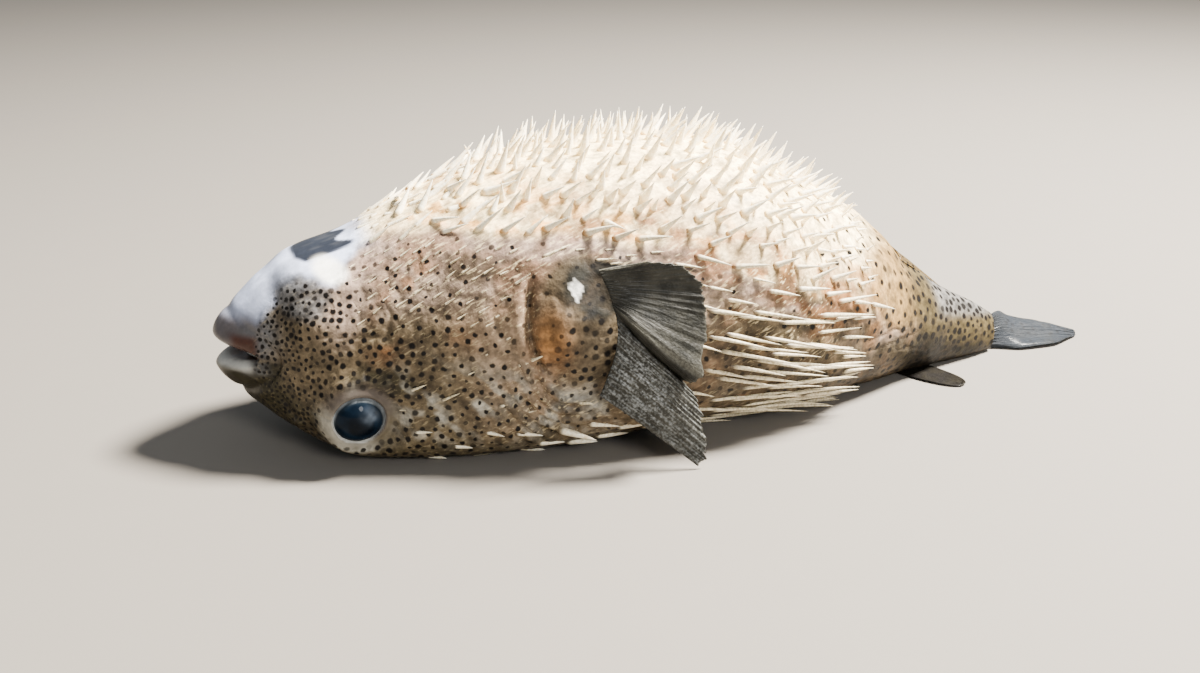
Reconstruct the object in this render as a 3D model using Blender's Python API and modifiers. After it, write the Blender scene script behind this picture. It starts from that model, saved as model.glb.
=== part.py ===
"""A life-size porcupinefish (Diodon hystrix) lying on its back, partly puffed up.

The snout points to -X, the tail to +X and the belly to +Z; the fish's right side faces -Y. The back of the
body rests on the floor, Z = 0. Head, trunk and tail stalk are one loft, parted with thin cuts. Their outline
runs out to the tips of the spines, which stand up on the belly and lie flat elsewhere.
"""

import math
from collections import namedtuple

import bmesh
import bpy
import numpy as np
from mathutils import Matrix

MM = 0.001
GAP = 0.3  # clearance between neighbouring solids, in millimetres

# ---- driving dimensions, in millimetres ----
LENGTH = 459.0  # snout to tail tip; the origin is midway, on the floor
TAIL_BASE_X = 171.0  # where the caudal fin starts
NAPE_CUT_X = -106.0  # between head and trunk, at the gill openings
STALK_CUT_X = 96.0  # between trunk and tail stalk
EYE_RADIUS = 13.5
EYE_CENTRE = (-173.5, 40.5, 26.5)  # of the left eye; the right one is its mirror image
MOUTH_Z = 47.0
LOBE_X = -81.0  # middle of the pectoral fin's fleshy base
LOBE_HALF = (21.0, 6.5, 30.0)
PECTORAL_EDGE_Y = 86.0  # how far out the folded pectoral fin's tip lies
FIN_THICKNESS = 1.6
ANAL_FIN_THICKNESS = 1.0
RING_POINTS = 44
SHEET_LEVEL = FIN_THICKNESS / 2  # middle of a fin that lies on the floor

COLLECTION = "porcupinefish"
SKIN = (0.42, 0.33, 0.22)
BELLY = (0.86, 0.82, 0.72)
LIP = (0.50, 0.42, 0.40)
TOOTH = (0.85, 0.82, 0.72)
FIN = (0.13, 0.13, 0.13)
EYE = (0.02, 0.03, 0.06)

# ---- the body's loft ----
# Each station is one ring round the body: where it crosses the belly line (top), the back line (bottom) and the
# flank (side), and how square the ring is above and below its widest level. The first rings line the mouth.
Station = namedtuple("Station", "top_x top_z back_x back_z side_x side_y side_z up_power down_power")
STATIONS = [
    Station(-209, 49.0, -209, 45.0, -200, 12.0, 47.0, 2.0, 2.0),
    Station(-218, 51.5, -218, 42.5, -207, 17.0, 47.0, 2.0, 2.0),
    Station(-225, 50.5, -225, 43.5, -211, 19.5, 47.0, 2.0, 2.0),
    Station(-LENGTH / 2, 54.5, -LENGTH / 2, 40.0, -212, 22.5, 47.0, 2.0, 2.0),
    Station(-226, 61.0, -225, 33.5, -207, 25.5, 47.0, 2.0, 2.0),
    Station(-218, 69.5, -216, 24.0, -202, 31.0, 46.0, 2.1, 2.2),
    Station(-206, 80.0, -205, 14.0, -193, 38.5, 42.0, 2.1, 2.6),
    Station(-188, 89.0, -190, 6.0, -183, 45.0, 38.0, 2.1, 3.4),
    Station(-168, 96.5, -172, 0.0, -169, 50.0, 37.0, 2.1, 4.2),
    Station(-143, 107.0, -143, -2.0, -143, 57.0, 42.0, 2.1, 4.4),
    Station(-110, 118.0, -110, -2.5, -110, 65.5, 48.0, 2.1, 4.0),
    Station(-73, 125.0, -73, -2.5, -73, 72.0, 54.0, 2.1, 3.3),
    Station(-35, 127.0, -35, -2.5, -35, 75.5, 57.0, 2.1, 2.8),
    Station(5, 121.0, 5, -2.5, 5, 73.0, 56.0, 2.1, 2.6),
    Station(45, 101.5, 45, -2.5, 45, 61.5, 49.0, 2.1, 2.5),
    Station(80, 77.5, 80, -1.5, 80, 44.0, 39.0, 2.1, 2.4),
    Station(110, 55.5, 110, -1.0, 110, 28.0, 28.0, 2.0, 2.3),
    Station(137, 40.5, 137, -1.0, 137, 17.0, 19.0, 2.0, 2.3),
    Station(160, 28.0, 160, -1.0, 160, 10.5, 12.5, 2.0, 2.2),
    Station(TAIL_BASE_X, 21.0, TAIL_BASE_X, -0.5, TAIL_BASE_X, 7.0, 10.0, 2.0, 2.0),
]
LIP_FIRST, LIP_LAST = 1, 4  # the stations whose rings bound the lips, inside and outside
PLANAR_FIRST = 9  # from this station back, each ring stands in one plane across the fish

# How far the spine tips stand off the skin, along X: on the belly line and on the flank.
COAT_X = (-170, -144, -123, -108, -51, -5, 40, 75, 98, 120, 135)
COAT_BELLY = (0, 3, 8, 14, 14.5, 12, 11, 11.5, 9.5, 3, 0)
COAT_FLANK = (0, 1, 2, 3, 4, 5, 5, 5, 4, 1, 0)


def hermite(knots, values, at):
    """A smooth curve through the values that doesn't overshoot: cubic pieces with harmonic-mean slopes."""
    knots, values, at = (np.asarray(a, float) for a in (knots, values, at))
    step = np.diff(knots)
    slope = np.diff(values) / step
    left, right = slope[:-1], slope[1:]
    inner = np.where(left * right > 0, 2 * left * right / np.where(left + right == 0, 1, left + right), 0)
    tangent = np.concatenate([[slope[0]], inner, [slope[-1]]])
    i = np.clip(np.searchsorted(knots, at, side="right") - 1, 0, len(step) - 1)
    t = np.clip((at - knots[i]) / step[i], 0, 1)
    return (
        values[i] * (1 + 2 * t) * (1 - t) ** 2
        + values[i + 1] * t * t * (3 - 2 * t)
        + step[i] * t * (1 - t) * (tangent[i] * (1 - t) - tangent[i + 1] * t)
    )


def station_at(t):
    """The loft's station at a whole or part index t."""
    index = range(len(STATIONS))
    return Station(*(float(hermite(index, [s[k] for s in STATIONS], t)) for k in range(len(Station._fields))))


def index_at_x(x):
    """The index t of the planar ring that stands at x."""
    index = np.linspace(PLANAR_FIRST, len(STATIONS) - 1, 400)
    return float(np.interp(x, hermite(range(len(STATIONS)), [s.side_x for s in STATIONS], index), index))


def sideways(x):
    """The spine's bend: behind the trunk the tail swings a little to the fish's left."""
    bend_from, bend_over, swing = 35.0, 140.0, 8.0
    return swing * np.clip((np.asarray(x) - bend_from) / bend_over, 0, None) ** 2


def ring(t, grow=0.0, angles=None):
    """Points round the body at index t, in millimetres: superellipse arcs between flank, belly and back.

    Angle 0 is the left flank and a quarter turn on is the belly. grow moves the ring outwards."""
    s = station_at(t)
    a = np.linspace(0, 2 * math.pi, RING_POINTS, endpoint=False) if angles is None else np.asarray(angles, float)
    c, n = np.cos(a), np.sin(a)
    power = np.where(n >= 0, s.up_power, s.down_power)
    belly = np.interp(s.side_x, COAT_X, COAT_BELLY) + grow
    flank = np.interp(s.side_x, COAT_X, COAT_FLANK) + grow
    reach = (np.abs(c) ** power + np.abs(n) ** power) ** (-1 / power)
    end_x = np.where(n >= 0, s.top_x, s.back_x)
    end_z = np.where(n >= 0, s.top_z + belly - s.side_z, s.side_z - s.back_z + grow)
    x = s.side_x + (end_x - s.side_x) * n**2
    y = (s.side_y + flank) * c * reach + sideways(x)
    z = np.maximum(s.side_z + end_z * n * reach, 0)
    return np.stack([x, y, z], axis=1)


# ---- meshes ----
def new_object(name, points, faces, colour=None, roughness=0.5):
    """A named object from points in millimetres; one with no colour is a cutter, hidden from renders."""
    mesh = bpy.data.meshes.new(name)
    mesh.from_pydata((np.asarray(points) * MM).tolist(), [], faces)
    mesh.update()
    made = bpy.data.objects.new(name, mesh)
    bpy.data.collections[COLLECTION if colour else "cutters"].objects.link(made)
    if colour:
        mesh.materials.append(finish(name, colour, roughness))
        mesh.shade_smooth()
        mesh.set_sharp_from_angle(angle=math.radians(40))
    else:
        made.hide_render = True
        made.display_type = "WIRE"
    return made


def finish(name, colour, roughness):
    """A plain Principled material of that base colour."""
    made = bpy.data.materials.new(name + "_finish")
    made.use_nodes = True
    shader = made.node_tree.nodes["Principled BSDF"]
    shader.inputs["Base Color"].default_value = (*colour, 1)
    shader.inputs["Roughness"].default_value = roughness
    shader.inputs["Metallic"].default_value = 0.0
    return made


def face_outwards(obj):
    mesh = bmesh.new()
    mesh.from_mesh(obj.data)
    bmesh.ops.recalc_face_normals(mesh, faces=mesh.faces)
    mesh.to_mesh(obj.data)
    mesh.free()


def quads(rows, columns, closed=False):
    """The faces of a grid of points; a closed grid joins its last column to its first."""
    around = columns if closed else columns - 1
    return [
        (i * columns + j, i * columns + (j + 1) % columns, (i + 1) * columns + (j + 1) % columns, (i + 1) * columns + j)
        for i in range(rows - 1)
        for j in range(around)
    ]


def loft(name, rings, colour, roughness=0.5):
    """A closed solid through rings of equal point count, capped at both ends."""
    along, around = len(rings), len(rings[0])
    last = (along - 1) * around
    caps = [tuple(reversed(range(around))), tuple(range(last, last + around))]
    made = new_object(name, np.concatenate(rings), quads(along, around, closed=True) + caps, colour, roughness)
    face_outwards(made)
    return made


def sheet(name, grid, thickness=FIN_THICKNESS, colour=FIN):
    """A fin: an open grid of points, given its thickness by Solidify, half to each side."""
    made = new_object(name, grid.reshape(-1, 3), quads(*grid.shape[:2]), colour)
    wall = made.modifiers.new("wall", "SOLIDIFY")
    wall.thickness = thickness * MM
    wall.offset = 0
    return made


def ball(name, centre, half_sizes, colour=None, roughness=0.5, segments=20, rings=12):
    """An ellipsoid with its poles along Y, as an eyeball sits in its socket."""
    mesh = bmesh.new()
    bmesh.ops.create_uvsphere(mesh, u_segments=segments, v_segments=rings, radius=1.0)
    bmesh.ops.rotate(mesh, verts=mesh.verts, matrix=Matrix.Rotation(math.pi / 2, 3, "X"))
    points = np.array([v.co[:] for v in mesh.verts]) * half_sizes + centre
    faces = [tuple(v.index for v in f.verts) for f in mesh.faces]
    mesh.free()
    return new_object(name, points, faces, colour, roughness)


def cut(obj, cutter):
    step = obj.modifiers.new("cut_" + cutter.name, "BOOLEAN")
    step.operation = "DIFFERENCE"
    step.solver = "EXACT"
    step.object = cutter


# ---- the fish's parts ----
def build_head():
    """From the mouth pocket to the gills, with a seat for the lips and a socket for each eye."""
    front = (0, 0.6, LIP_FIRST, LIP_LAST, 4.5, 5, 5.5, 6, 6.5, 7, 7.5, 8, 8.5, 9, 9.5, index_at_x(NAPE_CUT_X))
    head = loft("head", [ring(t) for t in front], SKIN)
    for name, side in (("left", 1), ("right", -1)):
        centre = np.array(EYE_CENTRE) * (1, side, 1)
        cut(head, ball("socket_" + name, centre, (EYE_RADIUS + GAP,) * 3))
        ball("eye_" + name, centre, (EYE_RADIUS,) * 3, EYE, roughness=0.1)


def build_lips():
    """Two fleshy lips, each the lip's section carried from one mouth corner to the other.

    The section runs over the lip's outside from the muzzle groove to the mouth pocket. Its two ends draw in by
    twice the clearance, so that the straight edge between them stays free of the head."""
    section = (LIP_LAST, 3.6, 3.3, 3.0, 2.6, 2.3, 2.0, 1.5, LIP_FIRST)
    half = RING_POINTS // 2
    for name, first in (("lip_lower", 1), ("lip_upper", half + 1)):
        angles = np.arange(first, first + half - 1) * (2 * math.pi / RING_POINTS)
        outline = np.stack([ring(t, angles=angles) for t in section])
        inward = outline.mean(axis=0) - outline
        inward *= 2 * GAP / np.linalg.norm(inward, axis=2, keepdims=True)
        outline[[0, -1]] += inward[[0, -1]]
        loft(name, list(outline.transpose(1, 0, 2)), LIP, roughness=0.4)


def build_beaks():
    """The two tooth plates: curved bars in the mouth pocket just behind the lips, a little apart."""
    front_index, rear_index = 0.85, 0.4
    root_clearance, parting = 0.5, 0.7
    reach = np.radians(np.linspace(40, 140, 13))
    for name, up in (("beak_lower", 1), ("beak_upper", -1)):
        front, rear = ring(front_index, angles=reach * up), ring(rear_index, angles=reach * up)
        front[:, 2] -= up * root_clearance
        rear[:, 2] -= up * root_clearance
        edge_front, edge_rear = front.copy(), rear.copy()
        edge_front[:, 2] = edge_rear[:, 2] = MOUTH_Z + up * parting
        loft(name, list(np.stack([edge_front, front, rear, edge_rear], axis=1)), TOOTH, roughness=0.3)


def build_trunk_and_stalk():
    """The body from the gills to the caudal fin, parted where the tail stalk begins."""
    trunk_span = np.linspace(index_at_x(NAPE_CUT_X + GAP), index_at_x(STALK_CUT_X), 20)
    stalk_span = np.linspace(index_at_x(STALK_CUT_X + GAP), len(STATIONS) - 1, 10)
    trunk = loft("trunk", [ring(t) for t in trunk_span], BELLY)
    stalk = loft("tail_stalk", [ring(t) for t in stalk_span], SKIN)
    return trunk, stalk


def build_pectoral(trunk, name, side):
    """The fleshy lobe of the fin's base, and the fin itself, folded back along the flank to the floor.

    The fin is a fan: its rays leave the base from high to low, and its sheet folds once lengthways, with the
    upper half lying on the flank and the lower half pointing to the floor."""
    lobe_angle, lobe_sunk = math.radians(8), 1.0
    centre = ring(index_at_x(LOBE_X), angles=[lobe_angle])[0] - (0, lobe_sunk, 0)
    centre[1] *= side
    half = np.array(LOBE_HALF)
    ball("pectoral_base_" + name, centre, half, SKIN)
    lobe_cutter = ball("lobe_cutter_" + name, centre, half + GAP)
    cut(trunk, lobe_cutter)

    base_x, base_y, base_high, base_low, base_bulge = -71.0, 79.6, 91.0, 36.0, 9.0
    out = np.linspace(0, 1, 8)[:, None, None]  # from the base to the free edge
    down = np.linspace(0, 1, 16)  # from the belly-side ray to the back-side ray
    base = np.stack(
        [
            base_x + base_bulge * np.sin(down * math.pi),
            np.full_like(down, base_y),
            base_high + (base_low - base_high) * down,
        ],
        axis=-1,
    )
    edge_knots = (0, 0.1, 0.25, 0.4, 0.55, 0.7, 0.85, 1)
    lean = (-4.0, -3.0, -2.0, 3.0, 0.0, -1.5, 0.0, 0.0)
    edge = np.stack(
        [
            hermite(edge_knots, (-45, -35, -29.5, -32, -35, -31.5, -29.5, -31), down),
            hermite(edge_knots, np.add(PECTORAL_EDGE_Y, lean), down),
            hermite(edge_knots, (92, 86, 72, 57, 41, 27, 13, SHEET_LEVEL), down),
        ],
        axis=-1,
    )
    grid = base + (edge - base) * out
    bow = 3.5
    grid[..., 1] += bow * np.sin(out[..., 0] * math.pi) * np.sin(down * math.pi)
    grid[..., 1] *= side
    fin = sheet("pectoral_fin_" + name, grid)
    if side < 0:
        face_outwards(fin)
    cut(fin, lobe_cutter)


def build_dorsal_fin(stalk):
    """Pressed flat on the floor under the tail stalk, its tip pointing to the fish's right and back.

    The stalk gets a shallow recess where it lies on the fin."""
    root_x, root_y, height, half_base = 110.0, 3.0, 46.0, 11.0
    heading = math.radians(-64)
    out = np.linspace(0, 1, 8)[:, None]
    across = np.linspace(-1, 1, 8)[None, :]
    rounding = np.sqrt(np.clip(1 - (np.clip(out - 0.35, 0, None) / 0.66) ** 2.2, 0.02, 1))
    for name, grow in (("dorsal_fin", 0.0), ("dorsal_cutter", GAP)):
        along = (height + 2 * grow) * out - grow
        half = (half_base + grow) * rounding * across
        x = root_x + along * math.cos(heading) - half * math.sin(heading)
        y = root_y + along * math.sin(heading) + half * math.cos(heading)
        grid = np.stack([x, y, np.full_like(x, SHEET_LEVEL)], axis=-1)
        flat = sheet(name, grid, FIN_THICKNESS + 2 * grow, FIN if grow == 0 else None)
    cut(stalk, flat)


def build_anal_fin():
    """Folded back over the tail stalk, from the belly line towards the fish's left: a patch of the stalk's own
    surface, lifted off it."""
    root_x, length, least_lift, arch = 104.0, 40.0, 1.2, 1.6
    rows = []
    for out in np.linspace(0, 1, 8):
        middle = math.radians(88 - 38 * out)
        rounding = math.sqrt(max(1 - (max(out - 0.3, 0) / 0.72) ** 2.2, 0.02))
        half = math.radians(26) * rounding * (1 + 0.5 * out)
        lift = least_lift + arch * math.sin(out * math.pi)
        rows.append(ring(index_at_x(root_x + length * out), lift, np.linspace(middle - half, middle + half, 7)))
    sheet("anal_fin", np.stack(rows), ANAL_FIN_THICKNESS)


def build_caudal_fin():
    """Half closed, nearly upright at its base and falling to the fish's left, its lower edge on the floor."""
    root_x = TAIL_BASE_X + GAP
    reach = LENGTH / 2 - root_x
    out = np.linspace(0, 1, 10)[:, None]
    across = np.linspace(-1, 1, 8)[None, :]
    half = np.interp(out, (0, 0.35, 0.7, 0.88, 1), (9.0, 12.0, 12.0, 8.5, 4.0))
    lean = np.radians(np.interp(out, (0, 0.35, 1), (12, 56, 72)))
    rounded, drift = 0.1, 2.0
    x = root_x + reach * out * (1 - rounded * across**2 * out)
    y = sideways(TAIL_BASE_X) + drift * out + half * across * np.sin(lean)
    z = SHEET_LEVEL + half * (1 + across) * np.cos(lean)
    sheet("caudal_fin", np.stack([x, y, z], axis=-1))


def main():
    for obj in list(bpy.data.objects):
        bpy.data.objects.remove(obj)
    for name in (COLLECTION, "cutters"):
        bpy.context.scene.collection.children.link(bpy.data.collections.new(name))
    build_head()
    build_lips()
    build_beaks()
    trunk, stalk = build_trunk_and_stalk()
    build_pectoral(trunk, "left", 1)
    build_pectoral(trunk, "right", -1)
    build_dorsal_fin(stalk)
    build_anal_fin()
    build_caudal_fin()


if __name__ == "__main__":
    main()
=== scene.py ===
"""A life-size porcupinefish (Diodon hystrix) lying on its back: skin, spines, fins, eyes and beak.

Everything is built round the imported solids. The snout points to -X, the tail to +X and the belly to +Z.
Shapes are worked out in millimetres, and become metres when a mesh is made.
"""

import math
from collections import namedtuple
from functools import lru_cache

import bpy
import numpy as np
from bpy.props import FloatProperty, FloatVectorProperty, IntProperty, PointerProperty
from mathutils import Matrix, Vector, kdtree


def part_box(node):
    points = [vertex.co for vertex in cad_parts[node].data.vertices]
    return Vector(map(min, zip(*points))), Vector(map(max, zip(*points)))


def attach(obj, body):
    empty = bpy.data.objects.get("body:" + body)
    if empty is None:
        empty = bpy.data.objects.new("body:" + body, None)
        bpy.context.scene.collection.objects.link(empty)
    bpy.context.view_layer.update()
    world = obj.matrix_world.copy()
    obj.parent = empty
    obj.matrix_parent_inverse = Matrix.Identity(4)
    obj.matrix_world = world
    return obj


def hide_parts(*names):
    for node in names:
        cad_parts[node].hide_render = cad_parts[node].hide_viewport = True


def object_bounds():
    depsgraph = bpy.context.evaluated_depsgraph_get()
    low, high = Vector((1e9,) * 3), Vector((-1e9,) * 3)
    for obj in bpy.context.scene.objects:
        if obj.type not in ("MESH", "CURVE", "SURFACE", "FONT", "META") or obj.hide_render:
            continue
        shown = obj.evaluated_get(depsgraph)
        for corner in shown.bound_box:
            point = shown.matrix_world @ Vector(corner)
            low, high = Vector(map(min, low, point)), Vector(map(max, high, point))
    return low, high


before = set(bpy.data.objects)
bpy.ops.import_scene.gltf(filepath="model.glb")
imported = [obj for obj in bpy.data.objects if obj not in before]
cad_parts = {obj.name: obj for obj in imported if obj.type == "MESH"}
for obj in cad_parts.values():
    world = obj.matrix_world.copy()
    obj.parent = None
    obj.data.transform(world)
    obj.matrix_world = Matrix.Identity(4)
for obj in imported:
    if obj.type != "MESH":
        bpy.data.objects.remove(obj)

bl_info = {
    "name": "Porcupinefish",
    "version": (1, 0, 0),
    "blender": (4, 5, 0),
    "location": "View3D > Sidebar > Porcupinefish",
    "description": "Builds a porcupinefish lying on its back, spine by spine",
    "category": "Add Mesh",
}

MM = 0.001
BODY = "root"
CAD_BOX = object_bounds()

UP = np.array([0.0, 0.0, 1.0])
TAILWARD = np.array([1.0, 0.0, 0.0])

# How far each kind of piece stays off the floor, in millimetres.
SKIN_GAP, SPINE_GAP, FIN_GAP = 0.15, 0.05, 0.08

# Where the skin's rings lie in its UV map along the fish; the rest is for its closed ends.
UV_START, UV_LENGTH = 0.004, 0.992

SKIN_COLUMNS = 252
SPOT_SEED, SPOT_SIZE_SEED, SPINE_ROOT_SEED, SPINE_SHAPE_SEED = 21, 22, 31, 32

# How far spots and spines vary at random, as factors of the local value; the bow is a share of the length.
SPOT_RADIUS_SPREAD, SPOT_INK_SPREAD = (0.7, 1.3), (0.8, 1.3)
LENGTH_SPREAD, SHAFT_SPREAD, BOW_SPREAD = (0.68, 1.2), (0.85, 1.15), (0.0, 0.09)


def node_box(name):
    """Lowest and highest corner of a solid, in millimetres."""
    low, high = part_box(name)
    return np.array(low) / MM, np.array(high) / MM


HALF_LENGTH = float(max(CAD_BOX[1][0], -CAD_BOX[0][0])) / MM
TAIL_X = float(node_box("tail_stalk")[1][0])
EYE_LOW, EYE_HIGH = node_box("eye_left")
EYE_CENTRE = (EYE_LOW + EYE_HIGH) / 2
EYE_RADIUS = float((EYE_HIGH - EYE_LOW)[0]) / 2
LOBE_LOW, LOBE_HIGH = node_box("pectoral_base_left")
LOBE_X, LOBE_Z = (LOBE_LOW + LOBE_HIGH)[[0, 2]] / 2
MOUTH_Z = float(node_box("lip_lower")[0][2] + node_box("lip_upper")[1][2]) / 2


# ---- small mathematics ----
def ramp(low, high, value):
    """0 below low, 1 above high, and a cubic S between; works with low above high too."""
    t = np.clip((np.asarray(value, float) - low) / (high - low), 0, 1)
    return t * t * (3 - 2 * t)


def span(value, start, full, fading, end):
    """A window: 0 up to start, 1 from full to fading and 0 from end on, with a cubic S on both sides."""
    return ramp(start, full, value) * ramp(end, fading, value)


def bell(value, centre, width):
    """A Gauss bell: 1 at the centre, falling off over the width."""
    return np.exp(-(((value - centre) / width) ** 2))


def oval(x, z, centre, half):
    """Distance from a centre seen from the side, in shares of an oval's half axes: 1 on the oval."""
    return np.hypot((x - centre[0]) / half[0], (z - centre[1]) / half[1])


def unit(vectors):
    """The vectors at length 1."""
    return vectors / np.maximum(np.linalg.norm(vectors, axis=-1, keepdims=True), 1e-9)


def hermite(knots, values, at):
    """A smooth curve through the values: cubic pieces with harmonic-mean slopes, so it doesn't overshoot."""
    knots, values, at = (np.asarray(a, float) for a in (knots, values, at))
    step = np.diff(knots)
    slope = np.diff(values) / step
    left, right = slope[:-1], slope[1:]
    both = np.where(left + right == 0, 1, left + right)
    inner = np.where(left * right > 0, 2 * left * right / both, 0)
    tangent = np.concatenate([[slope[0]], inner, [slope[-1]]])
    i = np.clip(np.searchsorted(knots, at, side="right") - 1, 0, len(step) - 1)
    t = np.clip((at - knots[i]) / step[i], 0, 1)
    return (
        values[i] * (1 + 2 * t) * (1 - t) ** 2
        + values[i + 1] * t * t * (3 - 2 * t)
        + step[i] * t * (1 - t) * (tangent[i] * (1 - t) - tangent[i + 1] * t)
    )


def running(values):
    """The sums before each value and after the last, from 0."""
    return np.concatenate([[0], np.cumsum(values)])


def lines(points, size, seed, stretch, width):
    """1 along thin winding lines, where value noise crosses zero, and 0 between them."""
    return 1 - ramp(0, width, np.abs(noise(points, size, seed, stretch)))


def lattice(ix, iy, iz, seed):
    """A fixed pseudo-random number from -1 to 1 for each whole lattice point, by integer mixing."""
    n = ix * 374761393 + iy * 668265263 + iz * 1442695041 + seed * 974634777
    n = (n ^ (n >> 13)) * 1274126177
    n = n ^ (n >> 16)
    return (n & 0xFFFF) / 32767.5 - 1


def noise(points, size, seed, stretch=(1, 1, 1)):
    """Value noise from -1 to 1: lattice numbers, size millimetres apart, blended by quintic weights.

    The seed only picks the pattern: each use has its own, so that no two markings follow each other."""
    p = np.asarray(points) / (np.asarray(stretch, float) * size)
    cell = np.floor(p).astype(np.int64)
    f = p - cell
    f = f * f * f * (f * (f * 6 - 15) + 10)
    total = np.zeros(p.shape[:-1])
    for corner in range(8):
        bits = np.array([corner & 1, corner >> 1 & 1, corner >> 2 & 1])
        weight = np.prod(np.where(bits, f, 1 - f), axis=-1)
        at = cell + bits
        total += weight * lattice(at[..., 0], at[..., 1], at[..., 2], seed)
    return total


# ---- the body's shape ----
# Each station is one ring round the body: where it crosses the middle of the belly (top) and of the back, and
# the flank (side), and how square it is above and below its widest level. The first rings line the mouth.
Station = namedtuple("Station", "top_x top_z back_x back_z side_x side_y side_z up_power down_power")
STATIONS = [
    Station(-209, 49.0, -209, 45.0, -200, 12.0, 47.0, 2.0, 2.0),
    Station(-218, 51.5, -218, 42.5, -207, 17.0, 47.0, 2.0, 2.0),
    Station(-225, 50.5, -225, 43.5, -211, 19.5, 47.0, 2.0, 2.0),
    Station(-HALF_LENGTH, 54.5, -HALF_LENGTH, 40.0, -212, 22.5, 47.0, 2.0, 2.0),
    Station(-226, 61.0, -225, 33.5, -207, 25.5, 47.0, 2.0, 2.0),
    Station(-218, 69.5, -216, 24.0, -202, 31.0, 46.0, 2.1, 2.2),
    Station(-206, 80.0, -205, 14.0, -193, 38.5, 42.0, 2.1, 2.6),
    Station(-188, 89.0, -190, 6.0, -183, 45.0, 38.0, 2.1, 3.4),
    Station(-168, 96.5, -172, 0.0, -169, 50.0, 37.0, 2.1, 4.2),
    Station(-143, 108.5, -143, -2.0, -143, 57.0, 42.0, 2.1, 4.4),
    Station(-110, 121.0, -110, -2.5, -110, 65.5, 48.0, 2.1, 4.0),
    Station(-73, 129.0, -73, -2.5, -73, 72.0, 54.0, 2.1, 3.3),
    Station(-35, 131.0, -35, -2.5, -35, 75.5, 57.0, 2.1, 2.8),
    Station(5, 125.5, 5, -2.5, 5, 73.0, 56.0, 2.1, 2.6),
    Station(45, 105.5, 45, -2.5, 45, 61.5, 49.0, 2.1, 2.5),
    Station(80, 85.0, 80, -1.5, 80, 44.0, 39.0, 2.1, 2.4),
    Station(110, 60.0, 110, -1.0, 110, 28.0, 28.0, 2.0, 2.3),
    Station(137, 40.5, 137, -1.0, 137, 17.0, 19.0, 2.0, 2.3),
    Station(160, 28.0, 160, -1.0, 160, 10.5, 12.5, 2.0, 2.2),
    Station(TAIL_X, 21.0, TAIL_X, -0.5, TAIL_X, 7.0, 10.0, 2.0, 2.0),
]
LAST_STATION = len(STATIONS) - 1

# The line between the pale belly and the flank: X and height of its knots.
BELLY_LINE_X = (
    -218, -215, -212, -208, -203, -197, -190, -184, -180, -175, -170,
    -165, -150, -125, -70, -45, -5, 20, 50, 90, 125, TAIL_X,
)
BELLY_LINE_Z = (
    46, 53, 60, 69, 75.5, 79.5, 81.5, 81, 80.5, 83.5, 89,
    92, 95.5, 99, 98, 94, 80, 68, 56, 42, 30, 15,
)

EYE_TILT = np.array([0.03, 0.98, -0.2])  # the way the left eye looks
LID_RADIUS = 11.1
IRIS_RADIUS = 10.45
CORNEA = 0.035  # how far it bulges, as a share of the eyeball's radius
# The pale bluish patch is partly clouding of the cornea and partly a painted highlight.
EYE_COLOURS = {
    "pupil": (0.0012, 0.003, 0.006),
    "iris": (0.003, 0.0075, 0.015),
    "haze_and_highlight": (0.05, 0.062, 0.08),
    "rim": (0.009, 0.015, 0.023),
    "white": (0.36, 0.4, 0.43),
}


def sideways(x):
    """The spine's bend: behind the trunk the tail swings a little to the fish's left."""
    bend_from, bend_over, swing = 35.0, 140.0, 8.0
    return swing * np.clip((x - bend_from) / bend_over, 0, None) ** 2


def belly_line(x):
    """Height of the line between belly and flank."""
    return hermite(BELLY_LINE_X, BELLY_LINE_Z, x)


def locate(points):
    """X, Y and Z of points, their distance from the bent middle plane, and their height over belly_line."""
    x, y, z = points[..., 0], points[..., 1], points[..., 2]
    return x, y, z, np.abs(y - sideways(x)), z - belly_line(x)


def bare_body(t, a):
    """The bare body at station index t and angle a: superellipse arcs from flank to belly and back.

    Angle 0 is the left flank, and a quarter turn on is the belly. The back is pressed flat off the floor."""
    index = range(len(STATIONS))
    s = Station(*(hermite(index, column, t) for column in zip(*STATIONS)))
    c, n = np.cos(a), np.sin(a)
    power = np.where(n >= 0, s.up_power, s.down_power)
    reach = (np.abs(c) ** power + np.abs(n) ** power) ** (-1 / power)
    end_x = np.where(n >= 0, s.top_x, s.back_x)
    end_z = np.where(n >= 0, s.top_z - s.side_z, s.side_z - s.back_z)
    x = s.side_x + (end_x - s.side_x) * n**2
    y = s.side_y * c * reach + sideways(x)
    z = s.side_z + end_z * n * reach
    bed = 0.3 + 1.1 * span(x, -165, -140, 105, 125)
    press = 1.2
    z = bed + press * np.logaddexp(0, (z - bed) / press)
    return np.stack([x, y, z - press * math.log(2) * bell(z, bed, 4.0)], axis=-1)


def grid_normals(grid):
    """Outward normals of a body grid: rows from snout to tail, columns from left flank over the belly."""
    along = np.gradient(grid, axis=0)
    around = np.roll(grid, -1, axis=1) - np.roll(grid, 1, axis=1)
    return unit(np.cross(around, along))


def sample(field, row, column):
    """A grid's value at fractional rows and columns, blended from four corners; columns wrap round."""
    i = np.clip(np.floor(row).astype(int), 0, field.shape[0] - 2)
    j = np.floor(column).astype(int) % field.shape[1]
    k = (j + 1) % field.shape[1]
    shape = row.shape + (1,) * (field.ndim - 2)
    u, v = (row - i).reshape(shape), (column - np.floor(column)).reshape(shape)
    low = field[i, j] * (1 - v) + field[i, k] * v
    high = field[i + 1, j] * (1 - v) + field[i + 1, k] * v
    return low * (1 - u) + high * u


def eye_frame(side):
    """Centre and looking direction of an eye; side is 1 for the left, -1 for the right."""
    mirror = np.array([1, side, 1])
    return EYE_CENTRE * mirror, unit(EYE_TILT * mirror)


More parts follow.
